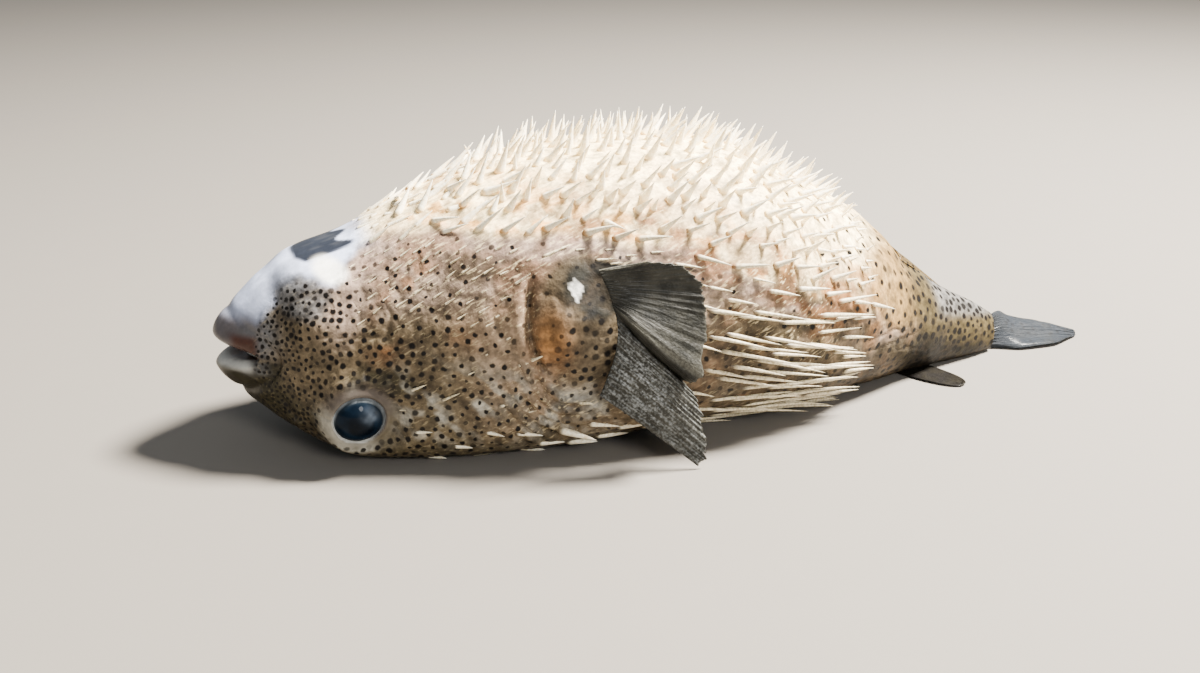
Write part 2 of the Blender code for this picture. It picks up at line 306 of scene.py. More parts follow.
def eye_polar(points, side):
    """Points seen from an eye: distance from its axis, 1 on its outer side, height along its look, offset."""
    centre, look = eye_frame(side)
    away = points - centre
    height = away @ look
    offset = away - height[..., None] * look
    return np.linalg.norm(offset, axis=-1), ramp(-4, 3, height), height, offset


def shape_eye(points, side):
    """The skin round one eye: drawn in behind the ball, a rounded lid edge on it, and a soft rise outside.

    Points near the lid's circle are drawn towards it, so that its edge is clean."""
    centre, look = eye_frame(side)
    radius, front, height, offset = eye_polar(points, side)
    off = radius - LID_RADIUS
    drawn = LID_RADIUS + off * (1 - 0.72 * bell(off, 0, 3.2) * front)
    offset = offset * (drawn / np.maximum(radius, 1e-6))[..., None]
    ball = math.sqrt(EYE_RADIUS**2 - LID_RADIUS**2)
    lid_edge = tuple(LID_RADIUS + step for step in (-1.0, 0, 0.6, 1.5))
    knots = (0, *lid_edge, 14.6, 16.2, 18.0, 20.5, 30)
    rises = (-6, -2.4, 0.05, 0.9, 1.15, 0.35, 0.15, 1.0, 0.6, 0)
    wanted = hermite(knots, [ball + rise for rise in rises], drawn)
    hold = ramp(24.0, 13.5, drawn) * front
    height = height + (wanted - height) * hold
    return np.where((front * hold > 0)[..., None], centre + offset + height[..., None] * look, points)


def body_features(points, ring, angle):
    """How far the skin stands out beyond the bare body, in millimetres: a sum of bells, windows and noise.

    points are on the bare body, at station index ring and at angle round it."""
    x, _, z, out, over = locate(points)
    flank = ramp(35, 55, out)

    # Lips and the groove round them, the fullness of chin and jowls, and the nostrils.
    under = 0.35 + 0.65 * ramp(MOUTH_Z + 12, MOUTH_Z, z)
    lift = 0.5 * bell(ring, 3.8, 0.5) + under * (0.5 * bell(ring, 4.95, 0.3) - 1.3 * bell(ring, 4.5, 0.18))
    round_lip = np.stack(np.broadcast_arrays(9 * np.cos(angle), 9 * np.sin(angle), 0.8 * ring), axis=-1)
    lift += 0.28 * noise(round_lip, 1.0, 8) * bell(ring, 3.9, 0.6)
    lift += 1.8 * bell(x, -195, 15) * ramp(68, 84, z)
    lift -= 1.2 * bell(x, -203, 5.5) * span(z, 20, 30, 74, 92)
    lift += 1.6 * bell(x, -190, 9) * bell(z, 66, 8) * ramp(20, 34, out)
    nostril = np.sqrt((x + 197) ** 2 + ((out - 30.5) * 0.9) ** 2 + (z - 20) ** 2)
    lift += 2.0 * ramp(3.2, 1.0, nostril) - 1.2 * ramp(1.3, 0.3, nostril)

    # The gill slit and its flap, the lobe that carries the pectoral fin, and the folds under it.
    slit = gill_slit(z)
    lift += span(z, 42, 48, 80, 86) * flank * (1.6 * bell(x, slit - 4.0, 3.6) - 3.2 * bell(x, slit, 1.8))
    lift += 3.0 * ramp(1.2, 0.2, oval(x, z, (-93, 61), (9, 16))) * flank * ramp(-101, -98, x)
    lobe = oval(x, z, (LOBE_X, LOBE_Z), (19.5, 28.5))
    lift += (4.2 - 3.2 * ramp(66, 84, z)) * ramp(1.08, 0.35, lobe) * flank * ramp(-97, -86, x)
    lift -= 1.2 * bell(lobe, 1.12, 0.1) * flank * ramp(-95, -85, x) * ramp(84, 70, z)
    below = flank * span(z, 6, 16, 44, 58) * bell(x, -90, 24) * ramp(1.05, 1.2, lobe)
    lift += below * 1.2 * np.cos(2 * math.pi * (lobe - 1.17) / 0.2 + 1.6 * noise(points, 15, 6))
    lift += below * 0.8 * noise(points, 5.5, 5, (0.8, 1, 1.6))

    # Broad and middling slackness of the trunk, and creases.
    trunk = span(x, -175, -120, 110, 165)
    high = ramp(60, 100, z)
    lift += trunk * (1.0 + 0.8 * high) * noise(points, 26, 3, (1.5, 1, 1))
    lift += trunk * 0.7 * noise(points, 11, 4, (1.6, 1, 0.8))
    loose = span(x, -212, -200, 90, 130) * (1 - 0.9 * ramp(-8, 2, over))
    return lift - loose * 0.55 * wrinkles(points)


def gill_slit(z):
    """Where the gill slit runs on the flank: a bow that opens towards the tail, as X against height."""
    return -102.5 + 0.011 * (z - 68) ** 2


def wrinkles(points):
    """Two sets of fine winding creases, the coarser one drawn out along the fish; 1 in a crease."""
    coarse = lines(points, 8, 14, (1.7, 1, 0.8), 0.22)
    return np.clip(coarse + 0.6 * lines(points, 4.5, 15, (1.2, 1, 1), 0.25), 0, 1)


def angle_from(turn, direction):
    """The angle between directions round the body, from 0 to half a turn."""
    return np.abs(np.angle(np.exp(1j * (turn - direction))))


Skin = namedtuple("Skin", "bare done normals along around")


@lru_cache(maxsize=1)
def skin_grid():
    """The skin's grid: bare points, finished points and their normals, and the places of rows and columns.

    Rows are as far apart as the local fineness says, by equal steps of the running sum of distance over
    spacing. Columns crowd on the flanks and spread on the back, by the running sum of a density."""
    fine = np.linspace(0, LAST_STATION, 3000)
    trial = bare_body(fine[:, None], np.linspace(0, 2 * math.pi, 24, endpoint=False)[None, :])
    steps = np.linalg.norm(np.diff(trial, axis=0), axis=2).mean(axis=1)
    stops, gaps = (-200, -150, -110, -60, 20, 90, 150), (0.76, 0.86, 1.05, 1.3, 2.15, 1.8, 1.1)
    spacing = np.interp(trial[1:, 0, 0], stops, gaps)
    count = running(steps / spacing)
    rows = np.interp(np.linspace(0, count[-1], int(count[-1])), count, fine)

    turn = np.linspace(0, 2 * math.pi, 2001)
    from_flank = np.minimum(angle_from(turn, 0), angle_from(turn, math.pi))
    density = 1 + 0.9 * bell(from_flank, 0, 0.55) - 0.62 * bell(angle_from(turn, 1.5 * math.pi), 0, 0.6)
    share = running((density[1:] + density[:-1]) / 2)
    columns = np.interp(np.linspace(0, share[-1], SKIN_COLUMNS + 1)[:-1], share, turn)

    bare = bare_body(rows[:, None], columns[None, :])
    done = bare + grid_normals(bare) * body_features(bare, rows[:, None], columns[None, :])[..., None]
    for side in (1, -1):
        done = shape_eye(done, side)
    done[..., 2] = np.maximum(done[..., 2], SKIN_GAP)
    along = np.interp(rows, fine, running(steps))
    around = np.linspace(0, 1, SKIN_COLUMNS, endpoint=False)
    return Skin(bare, done, grid_normals(done), along / along[-1], around)


# ---- markings, shared by skin and spines ----
def paint(points, colours):
    """The skin's ground colour at points on the bare body: one wash of colour over another, by place.

    A wash blends towards a colour by a mask from 0 to 1, a product of windows, bells and steps of noise."""
    x, y, z, out, over = locate(points)
    broad, middle, small = noise(points, 34, 11), noise(points, 14, 12), noise(points, 5.5, 13)
    over = over - ramp(-195, -165, x) * (4.0 * broad + 3.0 * middle)
    flank = ramp(40, 55, out)
    colour = np.array(colours.flank)

    def wash(name, mask):
        nonlocal colour
        colour = colour + (np.array(getattr(colours, name)) - colour) * np.clip(mask, 0, 1)[..., None]

    # Cheeks, back and flanks.
    wash("cheek", 0.95 * ramp(-112, -140, x + 8 * middle))
    wash("back", ramp(45, 20, z) * ramp(60, 20, x) * (0.5 + 0.4 * middle))
    wash("flush", ramp(-34, -8, over) * (0.75 + 0.5 * middle) * ramp(-196, -172, x))
    cheek_patches = bell(x, -162, 7) * bell(z, 55, 6) + bell(x, -128, 7) * bell(z, 62, 6)
    wash("rust", cheek_patches * (0.4 + 0.5 * small))
    wash("rust", ramp(0.2, 0.7, broad + 0.5 * small) * bell(over, -14, 14) * ramp(-180, -150, x) * 0.6)
    wash("dark", ramp(1.3, 0.6, oval(x, z, (-121, 89), (13, 7)) + 0.35 * small) * 0.85)
    wash("snout", ramp(1.4, 0.6, oval(x, z, (-163, 42), (16, 7)) + 0.3 * small))
    blotches = ramp(0.25, 0.7, middle + 0.4 * small)
    wash("dark", blotches * ramp(-150, -110, x) * ramp(0, -15, over) * 0.4)
    wash("back", ramp(38, 14, z - 0.1 * (x + 165)) * ramp(-150, -190, x) * 0.7)
    wash("back", ramp(22, 3, z) * ramp(-190, -150, x) * 0.85)
    wash("snout", ramp(40, 30, z + 0.25 * (x + 206)) * ramp(-184, -204, x))

    # The belly, its tints between the spines, which are partly skin colour and partly painted shade, and its
    # darker rear.
    wash("belly", ramp(-1, 5, over) * ramp(-176, -160, x))
    tint = ramp(-1, 6, over) * ramp(-165, -135, x)
    hollows = 0.2 + 0.8 * ramp(34, 4, over)
    # Apricot and rust between the belly's spines: partly skin colour, partly painted shade, and least on the
    # crest.
    wash("apricot", tint * ramp(0.0, 0.4, small + 0.5 * middle) * hollows)
    wash("rust", tint * ramp(0.05, 0.45, 0.4 * broad - small) * 0.6 * ramp(40, 6, over))
    edge = bell(over, 5, 16) * ramp(-95, -70, x)
    wash("rust", edge * ramp(-0.1, 0.35, noise(points, 6, 20, (2.0, 1, 0.8))) * 0.9)
    # Rust and dark patches between the rear spines: partly skin colour, partly painted shade.
    rear = span(x, -50, 0, 95, 125)
    hollow = noise(points, 8, 16, (1.7, 1, 1)) + 0.4 * middle
    wash("rust", rear * ramp(-0.3, 0.35, hollow) * ramp(30, -2, over) * 0.9)
    hollow = noise(points, 6, 17, (2.2, 1, 0.9)) + 0.3 * small
    wash("dark", rear * ramp(0.0, 0.5, hollow) * ramp(24, -6, over) * 0.9)
    wash("back", rear * ramp(2, -22, over) * (0.8 + 0.3 * small))
    wash("dark", rear * ramp(-8, -30, over) * (0.6 + 0.5 * small))
    wash("buff", ramp(44, 88, x + 6 * middle + 3 * small - 0.3 * (z - 50)) * ramp(-12, 4, over))

    # The chin, and the dark band across the throat.
    chin = ramp(-3.5, 2.0, over + 2.0 * small + 1.5 * middle) * ramp(-156, -168, x)
    wash("chin", chin)
    wash("grey", chin * ramp(0.15, 0.8, middle + 0.35 * small) * 0.3)
    front = -193 + 6 * (out / 16) ** 3
    rear_edge = -169.5 - 4.5 * bell(out, 7.5, 4) + 2.5 * bell(out, 14, 2.5)
    inside = ramp(-1.2, 1.2, x - front + small) * ramp(1.2, -1.2, x - rear_edge + small)
    band = inside * ramp(17.6, 15.6, out + 0.6 * small) * ramp(70, 80, z)
    wash("band", band)
    wash("grey", band * ramp(0.0, 0.8, noise(points, 3.0, 18, (2.5, 0.7, 1))) * 0.18)
    # A white patch beside the throat: partly pale skin, partly a painted highlight on the wet skin.
    wash("white", ramp(1.3, 0.6, oval(x, z, (-179, 84.8), (6.8, 4.2))) * ramp(12, 16, out))
    smudge = oval(x, z, (-193, 74.5), (12.5, 9.5))
    wash("grey", ramp(1.25, 0.7, smudge + 0.2 * small + 0.15 * middle) * 0.8)
    wash("grey", bell(x, -208.5, 6) * bell(z, 60, 12) * ramp(3, -2, over) * 0.9)

    # The tail stalk, with a painted sheen on its top and a darker underside that is partly painted shade.
    stalk = ramp(85, 118, x + 6 * middle)
    wash("stalk", stalk)
    # Painted sheen: the top of the tail stalk is painted paler, as wet skin reflecting the sky.
    wash("painted_sheen", ramp(0.6, 0.8, (z - 2) / (belly_line(x) + 12)) * ramp(120, 130, x) * 0.9)
    # The stalk's underside, near the floor, darkens towards the snout's colour and the spots' near-black:
    # partly the darker back, partly painted shade.
    low_stalk = stalk * ramp(5, -4, z - 64 + 0.36 * x + 3 * small)
    wash("snout", low_stalk * 0.97)
    wash("spot", low_stalk * (0.5 + 0.3 * middle))

    # The pectoral fin's lobe, the gill slit, and the loose folds below.
    lobe = oval(x, z, (LOBE_X + 2, LOBE_Z), (20, 29))
    wash("lobe", ramp(1.15, 0.9, lobe) * flank)
    wash("rust", bell(x, -94, 8.0) * bell(z, 58, 13) * flank * 0.95)
    wash("apricot", bell(x, -94, 5.5) * bell(z, 60, 9) * flank * 0.25)
    # Painted shade: the top of the fin's lobe, round the fin's root, is painted with the fin's near-black.
    lobe_top = oval(x, z, (-71, 81), (16.5, 12)) + 0.2 * small
    wash("fin_dark", ramp(1.35, 0.75, lobe_top) * flank * 0.97)
    # Painted shade: a dark streak at the top of the gill flap, and along the gill slit.
    wash("dark", bell(x, -98 + 0.5 * (z - 74), 3) * bell(z, 73, 5) * flank * 0.6)
    wash("dark", bell(x, gill_slit(z) + 0.5, 1.8) * span(z, 42, 48, 80, 86) * flank * 0.7)
    aslant = np.stack([0.7 * (x + z), 0.3 * y, 0.25 * (x - z)], axis=-1)
    low = span(x, -165, -150, -70, -55) * ramp(0.9, 1.2, lobe) * flank
    worn = ramp(0.05, 0.5, noise(aslant, 3.2, 23) + 0.4 * small)
    wash("fold", worn * bell(z, 30, 15) * low * 0.85)
    wash("dark", ramp(0.1, 0.5, noise(aslant, 3.6, 24)) * bell(z, 28, 15) * low * 0.6)
    wash("fold", bell(x, -92, 19) * bell(z, 34, 9) * flank * ramp(-0.3, 0.5, small + 0.3 * middle))
    # Painted shade in the skin's creases, below the belly line.
    wash("dark", wrinkles(points) * ramp(-212, -200, x) * (1 - chin) * ramp(4, -6, over) * 0.4)
    fleck = np.abs(x + 82) / 3.1 + np.where(z > 81.5, (z - 81.5) / 2.8, (81.5 - z) / 6.0)
    wash("white", ramp(1.1, 0.9, fleck) * ramp(-60, -70, y))

    # Round the eyes.
    for side in (1, -1):
        radius, near, _, offset = eye_polar(points, side)
        rising, ahead = (offset[..., k] / np.maximum(radius, 1e-6) for k in (2, 0))
        before = 0.25 + 0.75 * ramp(0.5, -0.4, ahead)
        wash("orbit", ramp(19, 15, radius + 3.0 * small) * near * (0.75 + 0.3 * middle) * before)
        wash("mauve", ramp(-0.2, 0.6, rising) * bell(radius, 14.5, 3.0) * near * 0.85)
        low_front = ramp(0.1, 0.8, -0.75 * rising - 0.65 * ahead)
        wash("fold", low_front * bell(radius, 15.3, 2.6) * near * (1.0 + 0.3 * small))
        wash("mauve", ramp(13.2, 12.2, radius) * near)
        wash("lid", ramp(12.2, 11.6, radius) * near * 0.8)
        wash("lip", low_front * ramp(13.0, 12.4, radius) * near)

    # Pale lumps behind the eye, then lips and mouth.
    lumps = ramp(1.3, 0.5, oval(x, z, (-148, 24), (13, 9))) * flank
    wash("fold", lumps * ramp(-0.1, 0.4, small + 0.3 * middle) * 0.85)
    corner = span(x, -221, -217, -210, -206)
    lower_lip = ramp(MOUTH_Z, MOUTH_Z + 2, z)
    # Painted shade: the lower lip darkens to mauve-brown on its underside, towards the mouth.
    wash("mauve", ramp(-206, -213, x) * lower_lip * ramp(71, 60, z + 1.5 * small) * 0.95)
    wash("grey", corner * lower_lip * ramp(66, 58, z + 2 * small) * 0.6)
    upper_lip = ramp(MOUTH_Z, MOUTH_Z - 2, z)
    wash("snout", ramp(-200, -207, x) * upper_lip)
    wash("grey", corner * upper_lip * ramp(38, 42, z) * 0.6)
    wash("lip", ramp(-213, -217, x) * upper_lip * ramp(39.5, 42.5, z + small))
    gape = ramp(9.0, 5.0, np.abs(z - MOUTH_Z - 3)) * span(x, -225, -220, -214, -210) * lower_lip
    wash("mouth", gape * 0.93)
    return colour


def smooth_zone(points):
    """1 where the skin is bare and glossy: chin, lips and round the eyes; 0 elsewhere."""
    x, *_, over = locate(points)
    zone = np.maximum(ramp(-2, 3, over) * ramp(-160, -172, x), ramp(-211, -216, x))
    for side in (1, -1):
        radius, near, _, _ = eye_polar(points, side)
        zone = np.maximum(zone, ramp(17.5, 14.5, radius) * near)
    return zone


def streaky_zone(points):
    """How strongly the skin's streaks show, the pale ones a painted highlight of wet skin: most on the upper
    flank, least on cheeks and back.
    """
    x, _, z, _, over = locate(points)
    zone = 0.1 + 0.15 * ramp(-170, -140, x) + 0.6 * ramp(-45, -10, over) * ramp(-178, -150, x)
    zone = zone * ramp(0.9, 1.15, oval(x, z, (LOBE_X + 2, LOBE_Z), (20, 29)))
    zone = 0.75 * zone + 0.3 * bell(x, -90, 30) * bell(z, 30, 16)
    return np.clip(zone, 0, 1) * ramp(55, 25, x) * (1 - smooth_zone(points))


def spot_layout(points):
    """Spacing, radius and ink strength of the dark spots, by place, in millimetres."""
    x, _, z, out, over = locate(points)
    behind_snout = ramp(-178, -160, x)
    belly = ramp(-6, 8, over)
    lobe = ramp(1.0, 0.8, oval(x, z, (LOBE_X + 4, LOBE_Z - 6), (17, 24))) * ramp(45, 55, out)

    stops = (-212, -195, -165, -130, -60, 40, 95, 120, TAIL_X)
    gaps = (2.1, 2.45, 3.3, 3.9, 4.8, 4.8, 3.9, 2.9, 2.5)
    spacing = np.interp(x, stops, gaps) * (1 + 0.45 * ramp(-40, -20, over) * behind_snout)
    spacing = spacing * (1 + 0.25 * belly * ramp(110, 85, x)) * (1 - 0.18 * lobe)

    stops, sizes = (-212, -190, -165, -100, 60, 110, TAIL_X), (0.8, 1.1, 1.28, 1.05, 1.5, 1.85, 1.6)
    radius = np.interp(x, stops, sizes) * (1 - 0.15 * ramp(-35, -20, over) * behind_snout * ramp(40, 20, x))
    radius = radius * (1 + 0.3 * lobe)

    ink = (1 - 0.75 * belly * ramp(42, 25, x)) * (0.8 + 0.2 * ramp(-95, -118, x) + 0.2 * ramp(20, 50, x))
    ink = np.maximum(ink * (1 - ramp(-3, 1, over) * ramp(-150, -165, x)), lobe * 0.95)
    ink = ink * (1 - bell(x, -97, 6) * bell(z, 62, 14) * 0.7)
    ink = ink * ramp(1.2, 1.8, oval(x, z, (-82, 80.5), (3.0, 4.2))) * (1 - smooth_zone(points))
    return spacing, radius, np.clip(ink, 0, 1)


def scatter(surface, spacing, seed):
    """Random spots on a grid surface, none nearer to another than the local spacing.

    Nine candidates for each place fall evenly by area over spacing squared; each that is kept removes those
    too near it. Returns fractional rows and columns."""
    ahead, beside = surface[1:] - surface[:-1], np.roll(surface, -1, axis=1) - surface
    area = np.linalg.norm(np.cross(ahead, beside[:-1]), axis=-1)
    want = np.where(np.isfinite(spacing[:-1]), area / spacing[:-1] ** 2, 0).ravel()
    source = np.random.default_rng(seed)
    candidates_each = 9
    count = int(candidates_each * want.sum())
    quad = source.choice(len(want), count, p=want / want.sum())
    row = quad // surface.shape[1] + source.random(count)
    column = quad % surface.shape[1] + source.random(count)
    places = sample(surface, row, column)
    gaps = spacing[quad // surface.shape[1], quad % surface.shape[1]]
    tree = kdtree.KDTree(count)
    for k, place in enumerate(places):
        tree.insert(place, k)
    tree.balance()
    free = np.ones(count, bool)
    kept = []
    for k in range(count):
        if free[k]:
            kept.append(k)
            for _, other, _ in tree.find_range(places[k], gaps[k]):
                free[other] = False
    return row[kept], column[kept]


def nearest(points, centres):
    """For each point, the index of the nearest centre; worked in blocks to spare memory."""
    square = (centres**2).sum(axis=1)
    size = 2000
    blocks = (points[k : k + size] for k in range(0, len(points), size))
    return np.concatenate([np.argmin(square - 2 * block @ centres.T, axis=1) for block in blocks])


# ---- meshes ----
def grid_faces(rows, columns, closed=False):
    """Quads of a grid, row by row; closed joins the last column to the first."""
    i, j = np.meshgrid(np.arange(rows - 1), np.arange(columns if closed else columns - 1), indexing="ij")
    k = (j + 1) % columns
    corners = i * columns + j, i * columns + k, (i + 1) * columns + k, (i + 1) * columns + j
    return np.stack(corners, axis=-1).reshape(-1, 4)


def capped_faces(rows, columns):
    """Faces of a closed tube: its quads, then a fan at each end about the two points after the grid's."""
    j = np.arange(columns)
    k = (j + 1) % columns
    last = (rows - 1) * columns
    start, end = np.full(columns, rows * columns), np.full(columns, rows * columns + 1)
    fans = np.stack([k, j, start, start], axis=-1), np.stack([last + j, last + k, end, end], axis=-1)
    return np.concatenate([grid_faces(rows, columns, closed=True), *fans])


def capped_uv(u, v):
    """UV corners of capped_faces: u by row, 0 and 1 at the poles; v by column, with one value more."""
    i, j = np.meshgrid(np.arange(len(u) - 1), np.arange(len(v) - 1), indexing="ij")
    quads = [np.stack([u[i + a], v[j + b]], axis=-1) for a, b in ((0, 0), (0, 1), (1, 1), (1, 0))]
    near, far = v[:-1], v[1:]

    def fan(edge, pole, first, second):
        """Corners of one end's triangles: two on its ring, then the pole, which is repeated."""
        corners = (edge, first), (edge, second), (pole, near), (pole, near)
        return np.stack([np.stack([near * 0 + at, across], axis=-1) for at, across in corners], axis=1)

    sides = np.stack(quads, axis=2).reshape(-1, 4, 2)
    return np.concatenate([sides, fan(u[0], 0, far, near), fan(u[-1], 1, near, far)])


def capped_tube(grid, start, end, u, v):
    """Points, faces and UV corners of a tube whose rows close, with a fan about a pole at each end."""
    points = np.concatenate([grid.reshape(-1, 3), [start, end]])
    return points, capped_faces(*grid.shape[:2]), capped_uv(u, v)


def facing_out(points, faces, uv):
    """The same faces and UV corners, all turned over if the closed surface holds a negative volume."""
    a, b, c, d = (points[faces[:, k]] for k in range(4))
    if (a * np.cross(b, c)).sum() + (a * np.cross(c, d)).sum() >= 0:
        return faces, uv
    order = np.where(faces[:, 2:3] == faces[:, 3:], [1, 0, 2, 3], [3, 2, 1, 0])
    return np.take_along_axis(faces, order, axis=1), np.take_along_axis(uv, order[..., None], axis=1)


def make_piece(name, points, faces, uv, finish, slot, attributes=(), replaces=()):
    """A mesh object at the origin from points in millimetres, quads and triangles, and a UV for every corner.

    Faces are rows of four indices; a triangle repeats its last one. Attributes are (name, kind, values)."""
    faces, uv = facing_out(points, faces, uv)
    triangle = faces[:, 2] == faces[:, 3]
    sizes = np.where(triangle, 3, 4)
    keep = np.ones(faces.shape, bool)
    keep[triangle, 3] = False
    mesh = bpy.data.meshes.new(name)
    mesh.vertices.add(len(points))
    mesh.vertices.foreach_set("co", (np.asarray(points) * MM).astype(np.float32).ravel())
    mesh.loops.add(int(sizes.sum()))
    mesh.loops.foreach_set("vertex_index", faces[keep].astype(np.int32))
    mesh.polygons.add(len(faces))
    mesh.polygons.foreach_set("loop_start", running(sizes)[:-1].astype(np.int32))
    mesh.update(calc_edges=True)
    mesh.validate()
    layer = mesh.uv_layers.new(name="OFBake")
    layer.uv.foreach_set("vector", uv[keep].astype(np.float32).ravel())
    for label, kind, values in attributes:
        made = mesh.attributes.new(label, kind, "FACE" if len(values) == len(faces) else "POINT")
        field = {"FLOAT": "value", "FLOAT_VECTOR": "vector", "FLOAT_COLOR": "color"}[kind]
        made.data.foreach_set(field, np.asarray(values, np.float32).ravel())
    mesh.polygons.foreach_set("use_smooth", np.ones(len(faces), bool))
    mesh.materials.append(finish)
    made = bpy.data.objects.new(name, mesh)
    bpy.context.scene.collection.objects.link(made)
    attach(made, BODY)
    if replaces:
        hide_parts(*replaces)


def with_alpha(colour):
    """Colours with an alpha of 1."""
    return np.concatenate([colour, np.ones(colour.shape[:-1] + (1,))], axis=-1)


# ---- materials ----
class Wire:
    """A shader socket that Python's operators extend with Math nodes."""

    def __init__(self, tree, socket=None):
        self.tree, self.socket = tree, socket

    def node(self, kind, settings=(), inputs=(), output=0):
        """Any node: its settings are set first, then its sockets get values or links."""
        made = self.tree.nodes.new(kind)
        for key, value in dict(settings).items():
            setattr(made, key, value)
        for key, value in dict(inputs).items():
            if isinstance(value, Wire):
                self.tree.links.new(value.socket, made.inputs[key])
            else:
                made.inputs[key].default_value = value
        return Wire(self.tree, made.outputs[output])

    def math(self, operation, first, second):
        """One Math node."""
        return self.node("ShaderNodeMath", {"operation": operation}, {0: first, 1: second})

    def __add__(self, other):
        return self.math("ADD", self, other)

    def __radd__(self, other):
        return self.math("ADD", other, self)

    def __sub__(self, other):
        return self.math("SUBTRACT", self, other)

    def __rsub__(self, other):
        return self.math("SUBTRACT", other, self)

    def __mul__(self, other):
        return self.math("MULTIPLY", self, other)

    def __rmul__(self, other):
        return self.math("MULTIPLY", other, self)

    def __truediv__(self, other):
        return self.math("DIVIDE", self, other)

    def __rtruediv__(self, other):
        return self.math("DIVIDE", other, self)

    def vector(self, operation, first, second=(0, 0, 0), output="Vector"):
        """One Vector Math node."""
        return self.node("ShaderNodeVectorMath", {"operation": operation}, {0: first, 1: second}, output)

    def step(self, low, high, at_low=0.0, at_high=1.0):
        """A smooth step of this value from at_low to at_high."""
        settings = {"interpolation_type": "SMOOTHSTEP"}
        return self.node("ShaderNodeMapRange", settings, {0: self, 1: low, 2: high, 3: at_low, 4: at_high})

    def attribute(self, name, output="Fac"):
        """What the mesh carries under a name: a number, a vector or a colour, by output."""
        return self.node("ShaderNodeAttribute", {"attribute_name": name}, output=output)

    def mix(self, factor, first, second, blend="MIX"):
        """Two colours blended; each is a wire or three numbers."""
        settings = {"data_type": "RGBA", "blend_type": blend}
        first, second = (c if isinstance(c, Wire) else (*c, 1) for c in (first, second))
        return self.node("ShaderNodeMix", settings, {0: factor, 6: first, 7: second}, output=2)

    def shaded(self, colour, shade):
        """A colour times a grey."""
        grey = self.node("ShaderNodeCombineColor", inputs={0: shade, 1: shade, 2: shade})
        return self.mix(1.0, colour, grey, "MULTIPLY")

    def place(self):
        """Where the surface is, in the piece's own space."""
        return self.node("ShaderNodeTexCoord", output="Object")

    def texture(self, place, scale, detail=3.0, output=0):
        """Noise from 0 to 1; scale is features to the metre."""
        inputs = {"Vector": place, "Scale": scale, "Detail": detail}
        return self.node("ShaderNodeTexNoise", inputs=inputs, output=output)

    def noise(self, scale, detail=3.0, stretch=(1, 1, 1), turn=(0, 0, 0)):
        """Noise in the piece's own space, turned and then stretched."""
        place = self.place()
        if any(turn):
            place = self.node("ShaderNodeMapping", inputs={"Vector": place, "Rotation": turn})
        place = self.node("ShaderNodeMapping", inputs={"Vector": place, "Scale": stretch})
        return self.texture(place, scale, detail)

    def bump(self, strength, distance, height):
        """A normal that follows a height; distance is in metres."""
        inputs = {"Strength": strength, "Distance": distance, "Height": height}
        return self.node("ShaderNodeBump", inputs=inputs)


def new_finish(name, roughness=None, coat=0.0, coat_roughness=0.1, gloss=0.5):
    """A Principled material with its constant sockets set; returns the material, its shader and a Wire."""
    made = bpy.data.materials.new(name)
    made.use_nodes = True
    shader = made.node_tree.nodes["Principled BSDF"]
    shader.inputs["Coat Weight"].default_value = coat
    shader.inputs["Coat Roughness"].default_value = coat_roughness
    shader.inputs["Specular IOR Level"].default_value = gloss
    if roughness is not None:
        shader.inputs["Roughness"].default_value = roughness
    return made, shader, Wire(made.node_tree)


def link(shader, **wires):
    """Joins wires to the shader's sockets; underscores stand for spaces."""
    for key, wire in wires.items():
        wire.tree.links.new(wire.socket, shader.inputs[key.replace("_", " ")])


def skin_finish(colours):
    """Damp skin: painted ground, mottling, pale streaks painted as highlights of wet skin and darker streaks,
    dark spots with soft ragged edges, and a grain.

    It is smoother, glossier and more even on the chin and round the eyes."""
    made, shader, wire = new_finish("damp_spotted_skin", coat_roughness=0.24, gloss=0.12)
    smooth = wire.attribute("smooth")
    mottle, freckle = wire.noise(170, 4.0), wire.noise(620)
    shade = mottle.step(0.25, 0.75, 0.5, 1.5) * freckle.step(0.2, 0.8, 0.7, 1.3)
    shade = shade + (1.02 - shade) * (smooth * 0.75)
    ground = wire.shaded(wire.attribute("paint", "Color"), shade)

    ragged = 0.0013  # metres that a spot's edge wanders
    place = wire.place()
    wobble = wire.vector("SUBTRACT", wire.texture(place, 450.0, 1.0, "Color"), (0.5, 0.5, 0.5))
    away = wire.vector("SUBTRACT", place, wire.attribute("spot_centre", "Vector"))
    away = wire.vector("ADD", away, wire.vector("MULTIPLY", wobble, (ragged, ragged, ragged)))
    distance = wire.vector("LENGTH", away, output="Value") / wire.attribute("spot_size")
    spot = distance.step(1.2, 0.62) * wire.attribute("spot_ink")
    streaky = wire.attribute("streaky")
    streak = wire.noise(850, 2.0, (0.2, 1.0, 1.0), (0, math.radians(26), 0))
    # Painted highlight: pale streaks stand in for glints on the wet skin; then darker streaks.
    ground = wire.mix(streak.step(0.55, 0.72) * streaky * 0.75, ground, colours.belly)
    ground = wire.mix(streak.step(0.46, 0.3) * streaky * 0.6, ground, colours.back)
    colour = wire.mix(spot, ground, colours.spot)

    grain = wire.noise(1500, 2.0) * 0.12 + wire.noise(480) * 0.5 + wire.noise(160, 2.0, (0.6, 1, 1))
    bump = wire.bump(0.5, 0.0011, grain * (1.0 - smooth * 0.8))
    rough = 0.52 + (mottle - 0.5) * 0.3 - smooth * 0.14
    link(shader, Base_Color=colour, Roughness=rough, Coat_Weight=0.05 + smooth * 0.16, Normal=bump)
    return made


